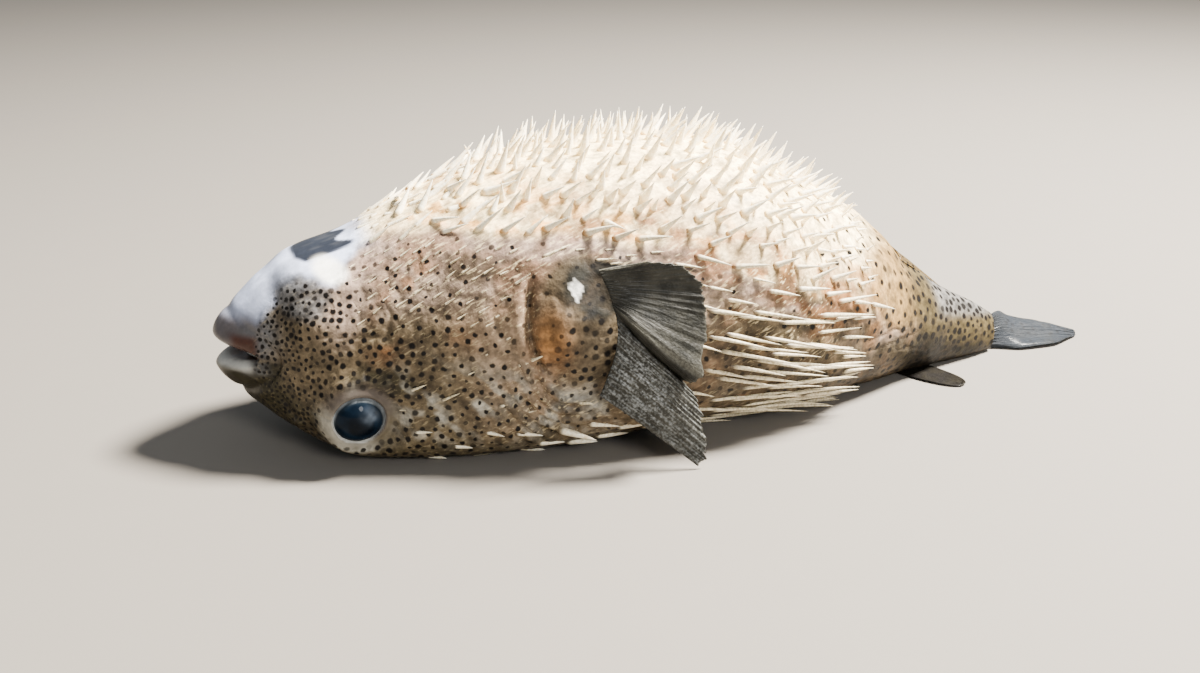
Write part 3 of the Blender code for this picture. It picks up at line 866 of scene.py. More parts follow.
def spine_finish(colours):
    """A spine: the skin's own colour at its foot, then streaked ivory, duller on the flank, a pale tip."""
    made, shader, wire = new_finish("ivory_spine", coat=0.15, coat_roughness=0.22, gloss=0.25)
    rise = wire.attribute("rise")
    streak = wire.noise(900, 2.0)
    shade = streak.step(0.35, 0.7)
    bright = wire.mix(shade, colours.spine, colours.spine_shade)
    bright = wire.mix(rise.step(0.75, 1.0, 0.0, 0.6), bright, colours.spine_tip)
    dull = wire.mix(shade, colours.worn, colours.worn_shade)
    colour = wire.mix(wire.attribute("bright"), dull, bright)
    sheath = (rise + (streak - 0.5) * 0.12).step(0.0, 0.14)
    colour = wire.mix(sheath, wire.attribute("paint", "Color"), colour)
    rough = 0.42 + (streak - 0.5) * 0.2
    link(shader, Base_Color=colour, Roughness=rough, Normal=wire.bump(0.3, 0.0003, streak))
    return made


def fin_finish(name, dark, light, spot, fleck):
    """A wet fin: dark membrane, paler rays, pale worn edges with painted highlights where the mesh marks it
    pale, small dark spots and painted whitish glints.
    """
    made, shader, wire = new_finish(name, coat=0.08, coat_roughness=0.2, gloss=0.12)
    ray, pale = wire.attribute("ray"), wire.attribute("pale")
    along = wire.node("ShaderNodeUVMap", {"uv_map": "OFBake"})
    along = wire.node("ShaderNodeMapping", inputs={"Vector": along, "Scale": (1.0, 0.035, 1.0)})
    streak = wire.texture(along, 150.0)
    mottle, fine = wire.noise(110, 4.0), wire.noise(900)
    between = tuple(0.4 * d + 0.3 * k for d, k in zip(dark, light))
    membrane = wire.mix(mottle.step(0.35, 0.7), dark, between)
    lit = ray * 0.45 + (streak - 0.5) * 1.6 + (fine - 0.5) * 0.5 + pale * 0.35
    colour = wire.mix(lit.step(0.25, 1.05, 0.0, 0.6), membrane, light)
    # Worn edges and the painted highlights that the mesh marks pale, lightened towards the rays' colour.
    worn = pale * 0.8 + (fine - 0.5) * 0.9 * pale
    colour = wire.mix(worn.step(0.25, 0.9, 0.0, 0.9), colour, light)
    # Painted glints: whitish flecks stand in for highlights on the wet fins.
    sparkle = (streak * 0.5 + fine * 0.5).step(0.42, 0.85) * wire.attribute("painted_glints")
    colour = wire.mix(sparkle, colour, fleck)
    cells = wire.node("ShaderNodeTexVoronoi", inputs={"Vector": wire.place(), "Scale": 230.0})
    colour = wire.mix(cells.step(0.32, 0.22) * wire.attribute("dotted"), colour, spot)
    bump = wire.bump(0.8, 0.0009, streak * 0.9 + fine * 0.4 + mottle * 0.8)
    link(shader, Base_Color=colour, Roughness=0.4 + fine * 0.3, Normal=bump)
    return made


def eye_finish():
    """A dark glossy eye: the painted iris and pupil, a little cloudy, under a clear coat."""
    made, shader, wire = new_finish("dark_glossy_eye", coat=0.14, coat_roughness=0.05, gloss=0.0)
    cloud = wire.noise(160)
    colour = wire.shaded(wire.attribute("paint", "Color"), cloud.step(0.3, 0.75, 0.7, 1.5))
    link(shader, Base_Color=colour, Roughness=0.16 + cloud * 0.12)
    return made


def beak_finish(colours):
    """Tooth: off-white with faint growth lines and stains towards the colour of the lips."""
    made, shader, wire = new_finish("beak_ivory", coat=0.4, coat_roughness=0.12)
    growth = wire.noise(500, 2.0, (0.3, 0.3, 3.0))
    colour = wire.mix(wire.noise(260).step(0.4, 0.75, 0.0, 0.7), colours.beak, colours.lip)
    link(shader, Base_Color=colour, Roughness=0.28 + growth * 0.2, Normal=wire.bump(0.4, 0.0003, growth))
    return made


def floor_finish(colour):
    """A plain pale matt floor with the faintest grain."""
    made, shader, wire = new_finish("pale_floor", roughness=0.85)
    low = tuple(0.97 * c for c in colour)
    link(shader, Base_Color=wire.mix(wire.noise(40), low, colour))
    return made


# ---- pieces ----
def build_skin(colours):
    """The whole skin as one closed tube from the mouth's lining to the tail's root.

    Its ends close with smaller and smaller rings about a pole. Each point carries its ground colour and how
    bare and how streaky it is; each face carries the centre, radius and strength of the nearest dark spot."""
    skin = skin_grid()
    bare, done = skin.bare, skin.done
    faintest = 0.08
    spacing, radius, ink = spot_layout(bare)
    row, column = scatter(bare, np.where(ink > faintest, spacing, np.inf), SPOT_SEED)
    centres = sample(done, row, column)
    source = np.random.default_rng(SPOT_SIZE_SEED)
    size = sample(radius, row, column) * source.uniform(*SPOT_RADIUS_SPREAD, len(row))
    strength = np.minimum(sample(ink, row, column) * source.uniform(*SPOT_INK_SPREAD, len(row)), 1)
    strength = strength * ramp(0.25, 0.45, strength)

    def closing(ring, shift, shares):
        """Smaller and smaller rings about a pole, which lies a shift tailward of the ring's middle."""
        pole = ring.mean(axis=0) + (shift, 0, 0)
        return np.stack([pole + (ring - pole) * share for share in shares]), pole

    first, start = closing(done[0], 4.0, (0.8, 0.5, 0.2))
    last, end = closing(done[-1], 1.0, (0.8, 0.45, 0.15))
    grid = np.concatenate([first[::-1], done, last])
    margins = np.array([0.001, 0.002, 0.003])
    u = np.concatenate([margins, UV_START + UV_LENGTH * skin.along, UV_START + UV_LENGTH + margins])
    points, faces, uv = capped_tube(grid, start, end, u, np.append(skin.around, 1.0))
    owner = nearest(points[faces].mean(axis=1), centres)

    def padded(values, at_start, at_end):
        """A value for every point: the grid's own, and constants over the two closed ends."""
        head, tail = ([value] * (len(margins) * SKIN_COLUMNS) for value in (at_start, at_end))
        values = values.reshape(-1, *np.shape(at_start))
        return np.concatenate([head, values, tail, [at_start], [at_end]])

    # From the lips inwards the skin turns to the colour of the mouth's lining.
    mouth, stalk = np.array(colours.mouth), np.array(colours.stalk)
    mouth_row = np.argmin(bare[: len(bare) // 3, SKIN_COLUMNS // 4, 0])
    depth = ramp(mouth_row * 0.9, mouth_row * 0.45, np.arange(len(bare)))[:, None, None]
    ground = paint(bare, colours)
    ground = ground + (mouth - ground) * depth
    attributes = (
        ("paint", "FLOAT_COLOR", with_alpha(padded(ground, mouth, stalk))),
        ("smooth", "FLOAT", padded(smooth_zone(bare), 1.0, 0.0)),
        ("streaky", "FLOAT", padded(streaky_zone(bare), 0.0, 0.0)),
        ("spot_centre", "FLOAT_VECTOR", centres[owner] * MM),
        ("spot_size", "FLOAT", size[owner] * MM),
        ("spot_ink", "FLOAT", strength[owner]),
    )
    nodes = ("head", "trunk", "tail_stalk", "lip_lower", "lip_upper")
    nodes += ("pectoral_base_left", "pectoral_base_right")
    make_piece("body_skin", points, faces, uv, skin_finish(colours), "skin", attributes, nodes)


def build_eye(name, side):
    """An eyeball on a polar grid about its looking direction: a sphere that bulges a little in front, as the
    cornea does. Pupil, iris, dark rim and the white round them are painted by distance from the axis."""
    centre, look = eye_frame(side)
    across = unit(np.cross(look, UP))
    upward = np.cross(across, look)
    rows, columns = 49, 96
    polar = np.linspace(0, math.pi, rows)[1:-1, None]
    turn = np.linspace(0, 2 * math.pi, columns + 1)[None, :]
    size = EYE_RADIUS * (1 + CORNEA * bell(polar, 0, 0.55))
    ahead, wide = size * np.cos(polar), size * np.sin(polar)
    parts = (ahead + 0 * turn, look), (wide * np.cos(turn), across), (wide * np.sin(turn), upward)
    grid = centre
    for reach, axis in parts:
        grid = grid + reach[..., None] * axis
    poles = centre + look * EYE_RADIUS * (1 + CORNEA), centre - look * EYE_RADIUS
    points, faces, uv = capped_tube(grid[:, :-1], *poles, polar[:, 0] / math.pi, turn[0] / (2 * math.pi))

    right, up = ((points - centre) @ np.stack([across, upward], axis=1)).T
    forward = right * side
    radius = np.hypot(right, up)
    edge = IRIS_RADIUS + 0.04 * right - 0.03 * up
    # A paler bluish patch above the pupil and towards the tail: partly clouding, partly a painted highlight.
    haze_and_highlight = bell(forward, 5.0, 3.6) * bell(up, 4.5, 3.2) * (0.75 + 0.5 * noise(points, 2.2, 61))
    colour = np.array(EYE_COLOURS["pupil"])
    for key, mask in (
        ("iris", ramp(4.5, 7.0, radius)),
        ("haze_and_highlight", np.clip(haze_and_highlight, 0, 1)),
        ("rim", ramp(edge - 1.4, edge - 0.4, radius)),
        ("white", ramp(edge - 0.25, edge + 0.35, radius)),
    ):
        colour = colour + (np.array(EYE_COLOURS[key]) - colour) * mask[:, None]
    # Painted light and shade: the white is painted lighter below and towards the snout, darker above and
    # towards the tail.
    lit = np.where(radius > edge, 0.35 + 1.7 * ramp(2, -9, forward * 0.6 + up), 1)
    behind = (points - centre) @ look <= 0
    colour = np.where(behind[:, None], EYE_COLOURS["white"], colour * lit[:, None])
    node = "eye_left" if side > 0 else "eye_right"
    attributes = (("paint", "FLOAT_COLOR", with_alpha(colour)),)
    make_piece(name, points, faces, uv, eye_finish(), "eye", attributes, (node,))


def length_property(name, description, default):
    return FloatProperty(name=name, description=description, default=default, unit="LENGTH")


def angle_property(name, description, degrees):
    return FloatProperty(name=name, description=description, default=math.radians(degrees), subtype="ANGLE")


class SizeSettings(bpy.types.PropertyGroup):
    """Sizes that change the coat and the fins."""

    spine_spacing: length_property("Spine spacing", "Gap between spine roots on the belly", 0.0064)
    spine_length: length_property("Spine length", "Length of the longest belly spines", 0.024)
    spine_radius: length_property("Spine radius", "Radius of a belly spine's shaft near its root", 0.00165)
    fin_rays: IntProperty(name="Fin rays", description="Rays in a pectoral fin", default=30)


def colour_property(name, description, default):
    return FloatVectorProperty(
        name=name, description=description, default=default, min=0, max=1, subtype="COLOR"
    )


class ColourSettings(bpy.types.PropertyGroup):
    """Ground colours of the skin, from snout to tail, and of spines and fins."""

    flank: colour_property("Flank", "Sides of the trunk", (0.235, 0.168, 0.11))
    cheek: colour_property("Cheek", "Sides of the head", (0.088, 0.066, 0.038))
    flush: colour_property("Flush", "Pinkish skin below the belly line", (0.31, 0.222, 0.175))
    rust: colour_property("Rust", "Orange-brown patches", (0.2, 0.085, 0.03))
    dark: colour_property("Dark patch", "Dark brown patches", (0.045, 0.031, 0.019))
    grey: colour_property("Grey skin", "Blackish skin behind the lips and up the chin", (0.082, 0.084, 0.089))
    fold: colour_property("Fold", "Bluish-white skin of the loose folds", (0.3, 0.285, 0.24))
    back: colour_property("Back", "Olive-brown back", (0.075, 0.06, 0.034))
    # On the tail's underside this colour is partly painted shade.
    snout: colour_property("Snout", "Dark snout and underside of the tail", (0.025, 0.021, 0.011))
    belly: colour_property("Belly", "Cream belly", (0.94, 0.76, 0.44))
    buff: colour_property("Buff", "Tan skin between belly and tail stalk", (0.2, 0.122, 0.042))
    # Apricot: the orange patch by the gill, and the tint between the belly's spines, which is partly painted
    # shade.
    apricot: colour_property("Apricot", "Yellow-orange tint between the belly's spines", (0.52, 0.275, 0.085))
    chin: colour_property("Chin", "Bare lavender-white chin and top of the tail", (0.53, 0.6, 0.81))
    # Painted sheen: the paler top of the tail stalk stands in for wet skin reflecting the sky.
    painted_sheen: colour_property("Tail sheen", "Greyish-lavender crown of the tail stalk", (0.1, 0.097, 0.093))
    # White: the patch beside the throat, partly pale skin and partly a painted highlight, and the white fleck
    # by the fin.
    white: colour_property("White", "Bright patch beside the throat", (0.97, 0.96, 0.9))
    band: colour_property("Throat band", "Dusky band across the throat", (0.014, 0.017, 0.025))
    stalk: colour_property("Tail stalk", "Tan tail stalk", (0.054, 0.04, 0.0165))
    lobe: colour_property("Fin lobe", "Fleshy base of the pectoral fin", (0.095, 0.072, 0.044))
    orbit: colour_property("Orbit", "Greyish skin round the eye", (0.2, 0.19, 0.15))
    mauve: colour_property("Mauve", "Mauve skin above the eye and at the lips", (0.062, 0.049, 0.043))
    lid: colour_property("Lid", "Pale edge of the eyelid", (0.15, 0.155, 0.155))
    lip: colour_property("Lip", "Whitish lips", (0.4, 0.4, 0.37))
    mouth: colour_property("Mouth", "Red-brown lining of the mouth", (0.05, 0.018, 0.011))
    beak: colour_property("Beak", "Off-white tooth plates", (0.62, 0.6, 0.5))
    spot: colour_property("Spots", "Black-brown spots", (0.003, 0.0022, 0.0018))
    spine: colour_property("Spine", "Ivory shaft of a spine", (0.99, 0.93, 0.74))
    spine_shade: colour_property("Spine streak", "Darker streaks along a spine", (0.84, 0.7, 0.45))
    spine_tip: colour_property("Spine tip", "Tip of a spine", (0.98, 0.94, 0.82))
    worn: colour_property("Flank spine", "Duller ivory of the flank's spines", (0.72, 0.64, 0.45))
    worn_shade: colour_property("Flank spine streak", "Streaks along the flank's spines", (0.42, 0.34, 0.2))
    # Also painted as shade on the top of the fin's lobe.
    fin_dark: colour_property("Fin membrane", "Dark skin between the rays", (0.009, 0.009, 0.007))
    # Also the colour of the painted highlight on the pectoral fins' ridge and lower lobe.
    fin_light: colour_property("Fin rays", "Paler rays and worn edges", (0.085, 0.082, 0.066))
    # Painted glints: these flecks stand in for highlights on the wet fins.
    glint: colour_property("Fin flecks", "Blue-grey flecks on the fins", (0.4, 0.43, 0.445))
    tail_dark: colour_property("Tail fin membrane", "Slate skin of the tail fin", (0.013, 0.017, 0.023))
    tail_light: colour_property("Tail fin rays", "Blue-grey rays of the tail fin", (0.042, 0.047, 0.052))


class StageSettings(bpy.types.PropertyGroup):
    """Where the viewer stands, and the plain floor."""

    azimuth: angle_property("Azimuth", "Viewer's direction round the fish", -17)
    elevation: angle_property("Elevation", "Viewer's height above the horizon", 20)
    distance: length_property("Distance", "From the viewer to the aim", 0.6235)
    aim: FloatVectorProperty(
        name="Aim", description="Point that the viewer looks at", default=(-0.0511, 0.0, 0.033), subtype="XYZ"
    )
    field: angle_property("Field of view", "Width of the view", 50)
    floor: colour_property("Floor", "Plain pale floor", (0.17, 0.155, 0.135))


def spine_plan(points):
    """Spacing, length and tilt of the spines, and how much a place belongs to the belly, on the bare body.

    Spacing is in shares of the belly's, and infinite where there are none; length in shares of the longest
    belly spine; tilt in radians from the skin's normal. Cheek and upper flank have only tiny flat ones."""
    x, _, z, out, over = locate(points)
    belly = ramp(-6, 10 + 12 * ramp(-60, -10, x), over)
    low_rear = span(x, -55, -15, 85, 115) * ramp(78, 52, z)
    high_rear = ramp(-60, -35, x) * bell(over, -14, 20) * (1 - low_rear)
    spacing = 1.0 + (1.04 - 0.8 * low_rear - 0.8 * high_rear) * (1 - belly)
    stops, lengths = (-168, -150, -118, -95, -50, 0, 45, 80), (0.4, 0.7, 0.78, 0.6, 0.58, 0.56, 0.52, 0.44)
    length = np.interp(x, stops, lengths)
    stops, tilts = (-165, -125, -108, -94, -50, 10, 50, 80), (83, 74, 50, 32, 24, 20, 22, 26)
    tilt = np.interp(x, stops, tilts)
    flank_length = (0.6 + 0.85 * low_rear - 0.08 * high_rear) * (1 - belly)
    length = length * (1 - 0.22 * bell(over, 20, 18)) * belly + flank_length
    tilt = tilt * belly + (84.0 + 2.0 * low_rear) * (1 - belly)
    length = length * (1 - 0.3 * ramp(-100, -140, x) * (1 - belly))

    bare = (over < -4) & (x < -112) & (z > 16) & ((x < -152) | (z > 40))
    end = 50 + 0.35 * (z - 20) + 9 * noise(points, 13, 19)
    length = length * (0.45 + 0.55 * ramp(0, 28, end - x))
    bare |= (x < -166) | (x > end)
    bare |= (over < 1) & (x < -42) & (z > 40)
    bare |= (oval(x, z, (LOBE_X, LOBE_Z), (24, 33)) < 1) & (out > 45)
    bare |= (x < -84) & (x > -112) & (z < 90) & (z > 18) & (out > 40)
    eyes = np.minimum(*(np.linalg.norm(points - eye_frame(side)[0], axis=-1) for side in (1, -1)))
    behind_eye = (x - EYE_CENTRE[0] > 0.6 * np.abs(z - EYE_CENTRE[2])) & (z < 40)
    bare |= eyes < 27
    tiny = bare & (over < 0) & (x > -172) & (x < -42) & (z > 26)
    tiny &= oval(x, z, (LOBE_X - 5, LOBE_Z), (26, 31)) > 1
    tiny &= (over > -24) | (x > -135) | ((eyes > 20) & (eyes < 48) & behind_eye)
    spacing = np.where(tiny, 0.8 + 0.8 * ramp(-25, -50, over), np.where(bare, np.inf, spacing))
    return spacing, np.where(tiny, 0.22, length), np.radians(np.where(tiny, 85.0, tilt)), belly


def build_spines(sizes, colours):
    """The coat: seeded roots on the skin, each with a curved cone.

    A spine's axis leaves the root between the normal and the tail, by its tilt, and bows a little back. Its
    rings are circles about that axis, with radius falling from the foot to the point. The foot flares where
    the spine stands, and narrows into the skin where it lies."""
    skin = skin_grid()
    space, length, tilt, belly = spine_plan(skin.bare)
    longest = sizes.spine_length / MM
    row, column = scatter(skin.bare, space * sizes.spine_spacing / MM, SPINE_ROOT_SEED)
    source = np.random.default_rng(SPINE_SHAPE_SEED)
    count = len(row)
    fields = (skin.bare, skin.done, skin.normals, length, tilt, belly)
    place, root, normal, reach, lean, share = (sample(field, row, column) for field in fields)
    normal = unit(normal)
    reach = reach * longest * source.uniform(*LENGTH_SPREAD, count)
    lean = lean + np.radians(source.normal(0, 1, count) * (2 + 11 * share))

    def combed(vectors):
        """The vectors laid on the skin, at length 1."""
        return unit(vectors - normal * (vectors * normal).sum(axis=1, keepdims=True))

    # Directions: along the skin towards the tail, some up or down it, and the low rear ones straight back.
    x, z = root[:, 0], root[:, 2]
    climb = np.interp(x, (-170, -110, -75, -40, 60), (0.6, 0.45, 0.0, -0.26, -0.2))
    climb = climb * (1 - share) * ramp(10, 38, z)
    stray = source.normal(0, 1, (count, 3)) * (0.03 + 0.32 * share)[:, None]
    tail = combed(unit(TAILWARD - normal * normal[:, :1] + climb[:, None] * UP + stray))
    axis = np.cos(lean)[:, None] * normal + np.sin(lean)[:, None] * tail
    straight = 0.65 * (1 - share) * ramp(40, 14, z) * ramp(-60, -25, x)
    axis = unit(axis + (TAILWARD - axis) * straight[:, None])
    bend = unit(np.cross(np.cross(axis, tail + 0.3 * normal), axis))
    bend = bend * source.uniform(*BOW_SPREAD, count)[:, None]

    # Thickness by share of the length, from just inside the skin to near the point.
    steps = np.array([-0.06, 0.03, 0.1, 0.28, 0.52, 0.76, 0.94])
    rows, sides = len(steps), 6
    slim = (0.2 + 0.8 * np.clip(reach / (0.6 * longest), 0, 1.15)) * (0.56 + 0.6 * share)
    grounded = ramp(24, 14, z) * ramp(-45, -60, x)
    shaft = sizes.spine_radius / MM * slim * (1 + 0.7 * grounded) * source.uniform(*SHAFT_SPREAD, count)
    upright = np.clip(np.cos(lean), 0, 1)[:, None]
    taper = (1 - np.clip(steps, 0, 1) ** (1.1 + 0.9 * (1 - share[:, None]))) * 0.95 + 0.05
    flare = 1 + 0.7 * upright * np.exp(-np.clip(steps - steps[0] / 2, 0, None) / 0.06)
    foot = 1 - 0.7 * (1 - upright) * np.exp(-(steps - steps[0]) / 0.05)
    wide = (shaft[:, None] * taper * flare * foot)[..., None, None]

    root = root - normal * (0.35 * shaft[:, None] * (1 - upright))
    turn = np.linspace(0, 2 * math.pi, sides, endpoint=False)
    across = unit(np.cross(axis, normal + 0.01 * UP))
    other = np.cross(axis, across)
    share_along = steps[:, None]
    line = share_along * axis[:, None] + share_along**2 * bend[:, None]
    middle = root[:, None] + reach[:, None, None] * line
    circle = np.cos(turn)[:, None] * across[:, None, None] + np.sin(turn)[:, None] * other[:, None, None]
    rings = middle[:, :, None] + wide * circle
    tips = root + reach[:, None] * (axis + bend)
    feet = root + axis * steps[0] * reach[:, None]
    block = np.concatenate([rings.reshape(count, -1, 3), feet[:, None], tips[:, None]], axis=1)
    block[..., 2] = np.maximum(block[..., 2], SPINE_GAP)

    # Each spine's UV patch lies at its root's place on the skin's unwrap.
    one = capped_faces(rows, sides)
    patch, margin = 0.0015, 0.0005
    u_own = np.concatenate([np.repeat(np.linspace(-patch, patch, rows), sides), [-patch, patch]])
    v_own = np.concatenate([np.tile(patch * np.sin(turn), rows), [0, 0]])
    u_root = UV_START + UV_LENGTH * np.interp(row, np.arange(len(skin.along)), skin.along)
    at_root = np.stack([u_root, column / SKIN_COLUMNS], axis=-1)
    uv_all = np.clip(at_root[:, None] + np.stack([u_own, v_own], axis=-1), margin, 1 - margin)
    rise = np.concatenate([np.repeat(np.clip(steps, 0, 1), sides), [0.0, 1.0]])

    ground, bright = paint(place, colours), np.maximum(share, grounded)
    upper, front, left = share > 0.5, place[:, 0] < -40, place[:, 1] >= 0
    groups = {
        "spines_belly_front": upper & front,
        "spines_belly_rear": upper & ~front,
        "spines_flank_left": ~upper & left,
        "spines_flank_right": ~upper & ~left,
    }
    finish = spine_finish(colours)
    size = block.shape[1]
    for name, chosen in groups.items():
        pick = np.flatnonzero(chosen)
        faces = (one[None] + (np.arange(len(pick)) * size)[:, None, None]).reshape(-1, 4)
        attributes = (
            ("paint", "FLOAT_COLOR", with_alpha(np.repeat(ground[pick], size, axis=0))),
            ("rise", "FLOAT", np.tile(rise, len(pick))),
            ("bright", "FLOAT", np.repeat(bright[pick], size)),
        )
        uv = uv_all[pick].reshape(-1, 2)[faces]
        make_piece(name, block[pick].reshape(-1, 3), faces, uv, finish, "ivory", attributes)
    return count


def fin_axes(rows, columns, left=-1):
    """The parameters of a fin's grid: 0 at the root to 1 at the edge, and left to 1 across."""
    return np.linspace(0, 1, rows)[:, None], np.linspace(left, 1, columns)[None, :]


def rounding(out, start, length):
    """A fin's width towards its tip, as a share: 1, then falling as a superellipse does from start on."""
    return np.sqrt(np.clip(1 - (np.clip(out - start, 0, None) / length) ** 2.2, 0.02, 1))


def fin_shell(name, middle, thickness, rays, finish, node, ripple=0.35, dotted=0.0, pale=0.0, painted_glints=0.0):
    """A fin as a closed shell round its middle surface, in place of a node.

    middle is a grid, root to edge by first ray to last. Every point moves out both ways along the normal by
    half the local thickness, which thins to the edge and swells on each ray; the rays also ripple the middle.
    Rays wander a little, so no two gaps are alike."""
    rows, columns = middle.shape[:2]
    out, down = fin_axes(rows, columns, left=0)
    normal = unit(np.cross(np.gradient(middle, axis=1), np.gradient(middle, axis=0)))
    place = np.stack(np.broadcast_arrays(down * rays / 2.5, out * 1.2, 0.0), axis=-1)
    wave = np.cos(2 * math.pi * (rays * down + 0.35 * noise(place, 1.0, 41) * np.sin(math.pi * down)))
    strong = 0.65 + 0.5 * noise(place * (1.7, 1, 1), 1.0, 42)
    crest = (0.5 + 0.5 * wave) ** 1.5 * strong
    grown = ramp(0.0, 0.25, out)
    middle = middle + normal * (ripple * wave * strong * grown)[..., None]
    rim = np.minimum(np.minimum(down, 1 - down) * 14, 1)
    half = thickness / 2 * (1 - 0.72 * out) * (0.62 + 0.55 * crest) * (0.35 + 0.65 * rim)
    points = np.concatenate([(middle + normal * (half * way)[..., None]).reshape(-1, 3) for way in (1, -1)])
    points[:, 2] = np.maximum(points[:, 2], FIN_GAP)

    # The two faces, and a band round the rim that joins them.
    size = rows * columns
    top = grid_faces(rows, columns)
    index = np.arange(size).reshape(rows, columns)
    loop = np.concatenate([index[0], index[1:, -1], index[-1, -2::-1], index[-2:0:-1, 0]])
    following = np.roll(loop, -1)
    band = np.stack([loop + size, following + size, following, loop], axis=-1)
    faces = np.concatenate([top, top[:, ::-1] + size, band])
    u, v = (np.broadcast_to(part, (rows, columns)).ravel() for part in (down, out))
    sheet = np.stack([0.01 + 0.48 * u, 0.01 + 0.98 * v], axis=-1)
    uv_point = np.concatenate([sheet, sheet + (0.5, 0)])
    uv = uv_point[faces]
    uv[2 * len(top) :] = uv_point[np.stack([loop, following, following, loop], axis=-1)]
    light = np.maximum(pale, 0.6 * ramp(0.92, 1.0, out))
    values = {"ray": crest * grown, "pale": light, "dotted": dotted, "painted_glints": painted_glints}
    sheets = ((key, np.broadcast_to(value, (rows, columns)).ravel()) for key, value in values.items())
    attributes = [(key, "FLOAT", np.tile(sheet, 2)) for key, sheet in sheets]
    make_piece(name, points, faces, uv, finish, "fin", attributes, (node,))


def tatter(across, rays, depth, seed):
    """How far out a worn edge reaches, as a share: less between rays, with random nicks.

    across runs from 0 to 1 over all the rays."""
    place = np.stack([across * rays, across * 0, across * 0], axis=-1)
    between = 0.5 - 0.5 * np.cos(2 * math.pi * rays * across)
    nicks = 0.45 * (1 + noise(place, 1.0, seed)) + 0.3 * np.abs(noise(place, 0.35, seed + 1))
    return 1 - depth * (0.25 * between + nicks)


def pectoral_middle(side, rows, columns, rays):
    """The pectoral fin's middle surface, from the lobe's rear edge to a worn free edge.

    Rays run straight from a steep root line to the edge. The upper lobe's rays droop and crowd to a ridge
    that stands out and runs down and back. The lower lobe comes from under it, with its tip on the floor."""
    out, (down,) = fin_axes(rows, columns, left=0)
    root_z = hermite((0, 0.48, 0.56, 1), (91, 75, 72, 36), down)
    root_x = -75 + 8 * np.sin(math.pi * (91 - root_z) / 55)
    root = np.stack([root_x, 77 - np.cos(math.pi * down), root_z], axis=-1)
    knots = (0, 0.08, 0.16, 0.24, 0.33, 0.42, 0.49, 0.56, 0.64, 0.74, 0.86, 0.95, 1)
    edge = np.stack([
        hermite(knots, (-54, -42, -33, -29, -27.5, -30, -34, -36, -32, -29.5, -28.8, -28.5, -33), down),
        hermite(knots, (81.5, 82, 82.5, 83, 84.5, 87.5, 90, 82, 82.5, 84.5, 87, 88, 88), down),
        hermite(knots, (94.5, 92.6, 87, 79, 68, 55, 41, 37, 31, 22, 11, 2.5, 1.2), down),
    ], axis=-1)
    edge = root + (edge - root) * tatter(down, rays, 0.065, 51)[:, None]
    grid = root + (edge - root) * out[..., None]
    swell = np.sin(out * math.pi)
    grid[..., 1] += swell * (2.5 * np.sin(down * math.pi) - 2.0 * bell(down, 0.2, 0.12))
    grid[..., 1] += ramp(0, 0.25, out) * (2.2 * bell(down, 0.47, 0.045) - 2.4 * bell(down, 0.565, 0.04))
    grid[..., 0] += 1.2 * swell * np.sin(down * 9)
    grid[..., 1] *= side
    return grid if side > 0 else grid[:, ::-1]


def caudal_middle(rows, columns):
    """The tail fin's middle surface: half closed, upright at its root and falling over to the fish's left."""
    root_x = TAIL_X - 5
    reach = HALF_LENGTH - root_x
    out, across = fin_axes(rows, columns)
    half = hermite((0, 0.1, 0.38, 0.7, 0.88, 1), (7.0, 8.5, 12.0, 11.5, 8.0, 3.5), out)
    lean = np.radians(hermite((0, 0.1, 0.4, 1), (4, 12, 56, 74), out))
    x = root_x + reach * out * (1 - 0.1 * across**2 * out)
    y = sideways(TAIL_X) + 2.0 * out + half * across * np.sin(lean)
    z = 1.0 + 1.6 * (1 - ramp(0, 0.15, out)) + half * (1 + across) * np.cos(lean)
    z = z + 1.2 * np.sin(across * 5) * ramp(0.1, 0.6, out)
    return np.stack([x, y, np.maximum(z, 0.7)], axis=-1)


def dorsal_middle(rows, columns):
    """The dorsal fin's middle surface, pressed on the floor beside the tail stalk, rounded at its tip."""
    root_x, root_y, height, half_base = 110.0, 3.0, 45.0, 10.5
    heading = math.radians(-64)
    out, across = fin_axes(rows, columns)
    half = half_base * rounding(out, 0.35, 0.66) * across
    x = root_x + height * out * math.cos(heading) - half * math.sin(heading)
    y = root_y + height * out * math.sin(heading) + half * math.cos(heading)
    z = 0.9 + 0.5 * np.sin(out * 4 + across) ** 2 * out
    return np.stack([x, y, z], axis=-1)


def anal_middle(rows, columns):
    """The anal fin's middle surface: a patch of the tail stalk's own shape, from belly to left flank.

    It is lifted off the skin in its middle and sunk into it at its sides and tip."""
    out, across = fin_axes(rows, columns)
    root_x, height = 104.0, 41.0
    fine = np.linspace(9, LAST_STATION, 600)
    side_x = hermite(range(len(STATIONS)), [s.side_x for s in STATIONS], fine)
    t = np.interp(root_x + height * out, side_x, fine) * np.ones_like(across)
    half = np.radians(26) * rounding(out, 0.3, 0.72) * (1 + 0.5 * out)
    surface = bare_body(t, np.radians(88 - 38 * out) + half * across)
    normal = unit(np.cross(np.gradient(surface, axis=1), np.gradient(surface, axis=0)))
    lift = 0.1 + 0.3 * ramp(0, 0.3, out) - 0.9 * ramp(0.85, 1, out) - 1.0 * across**4
    return surface + normal * lift[..., None]


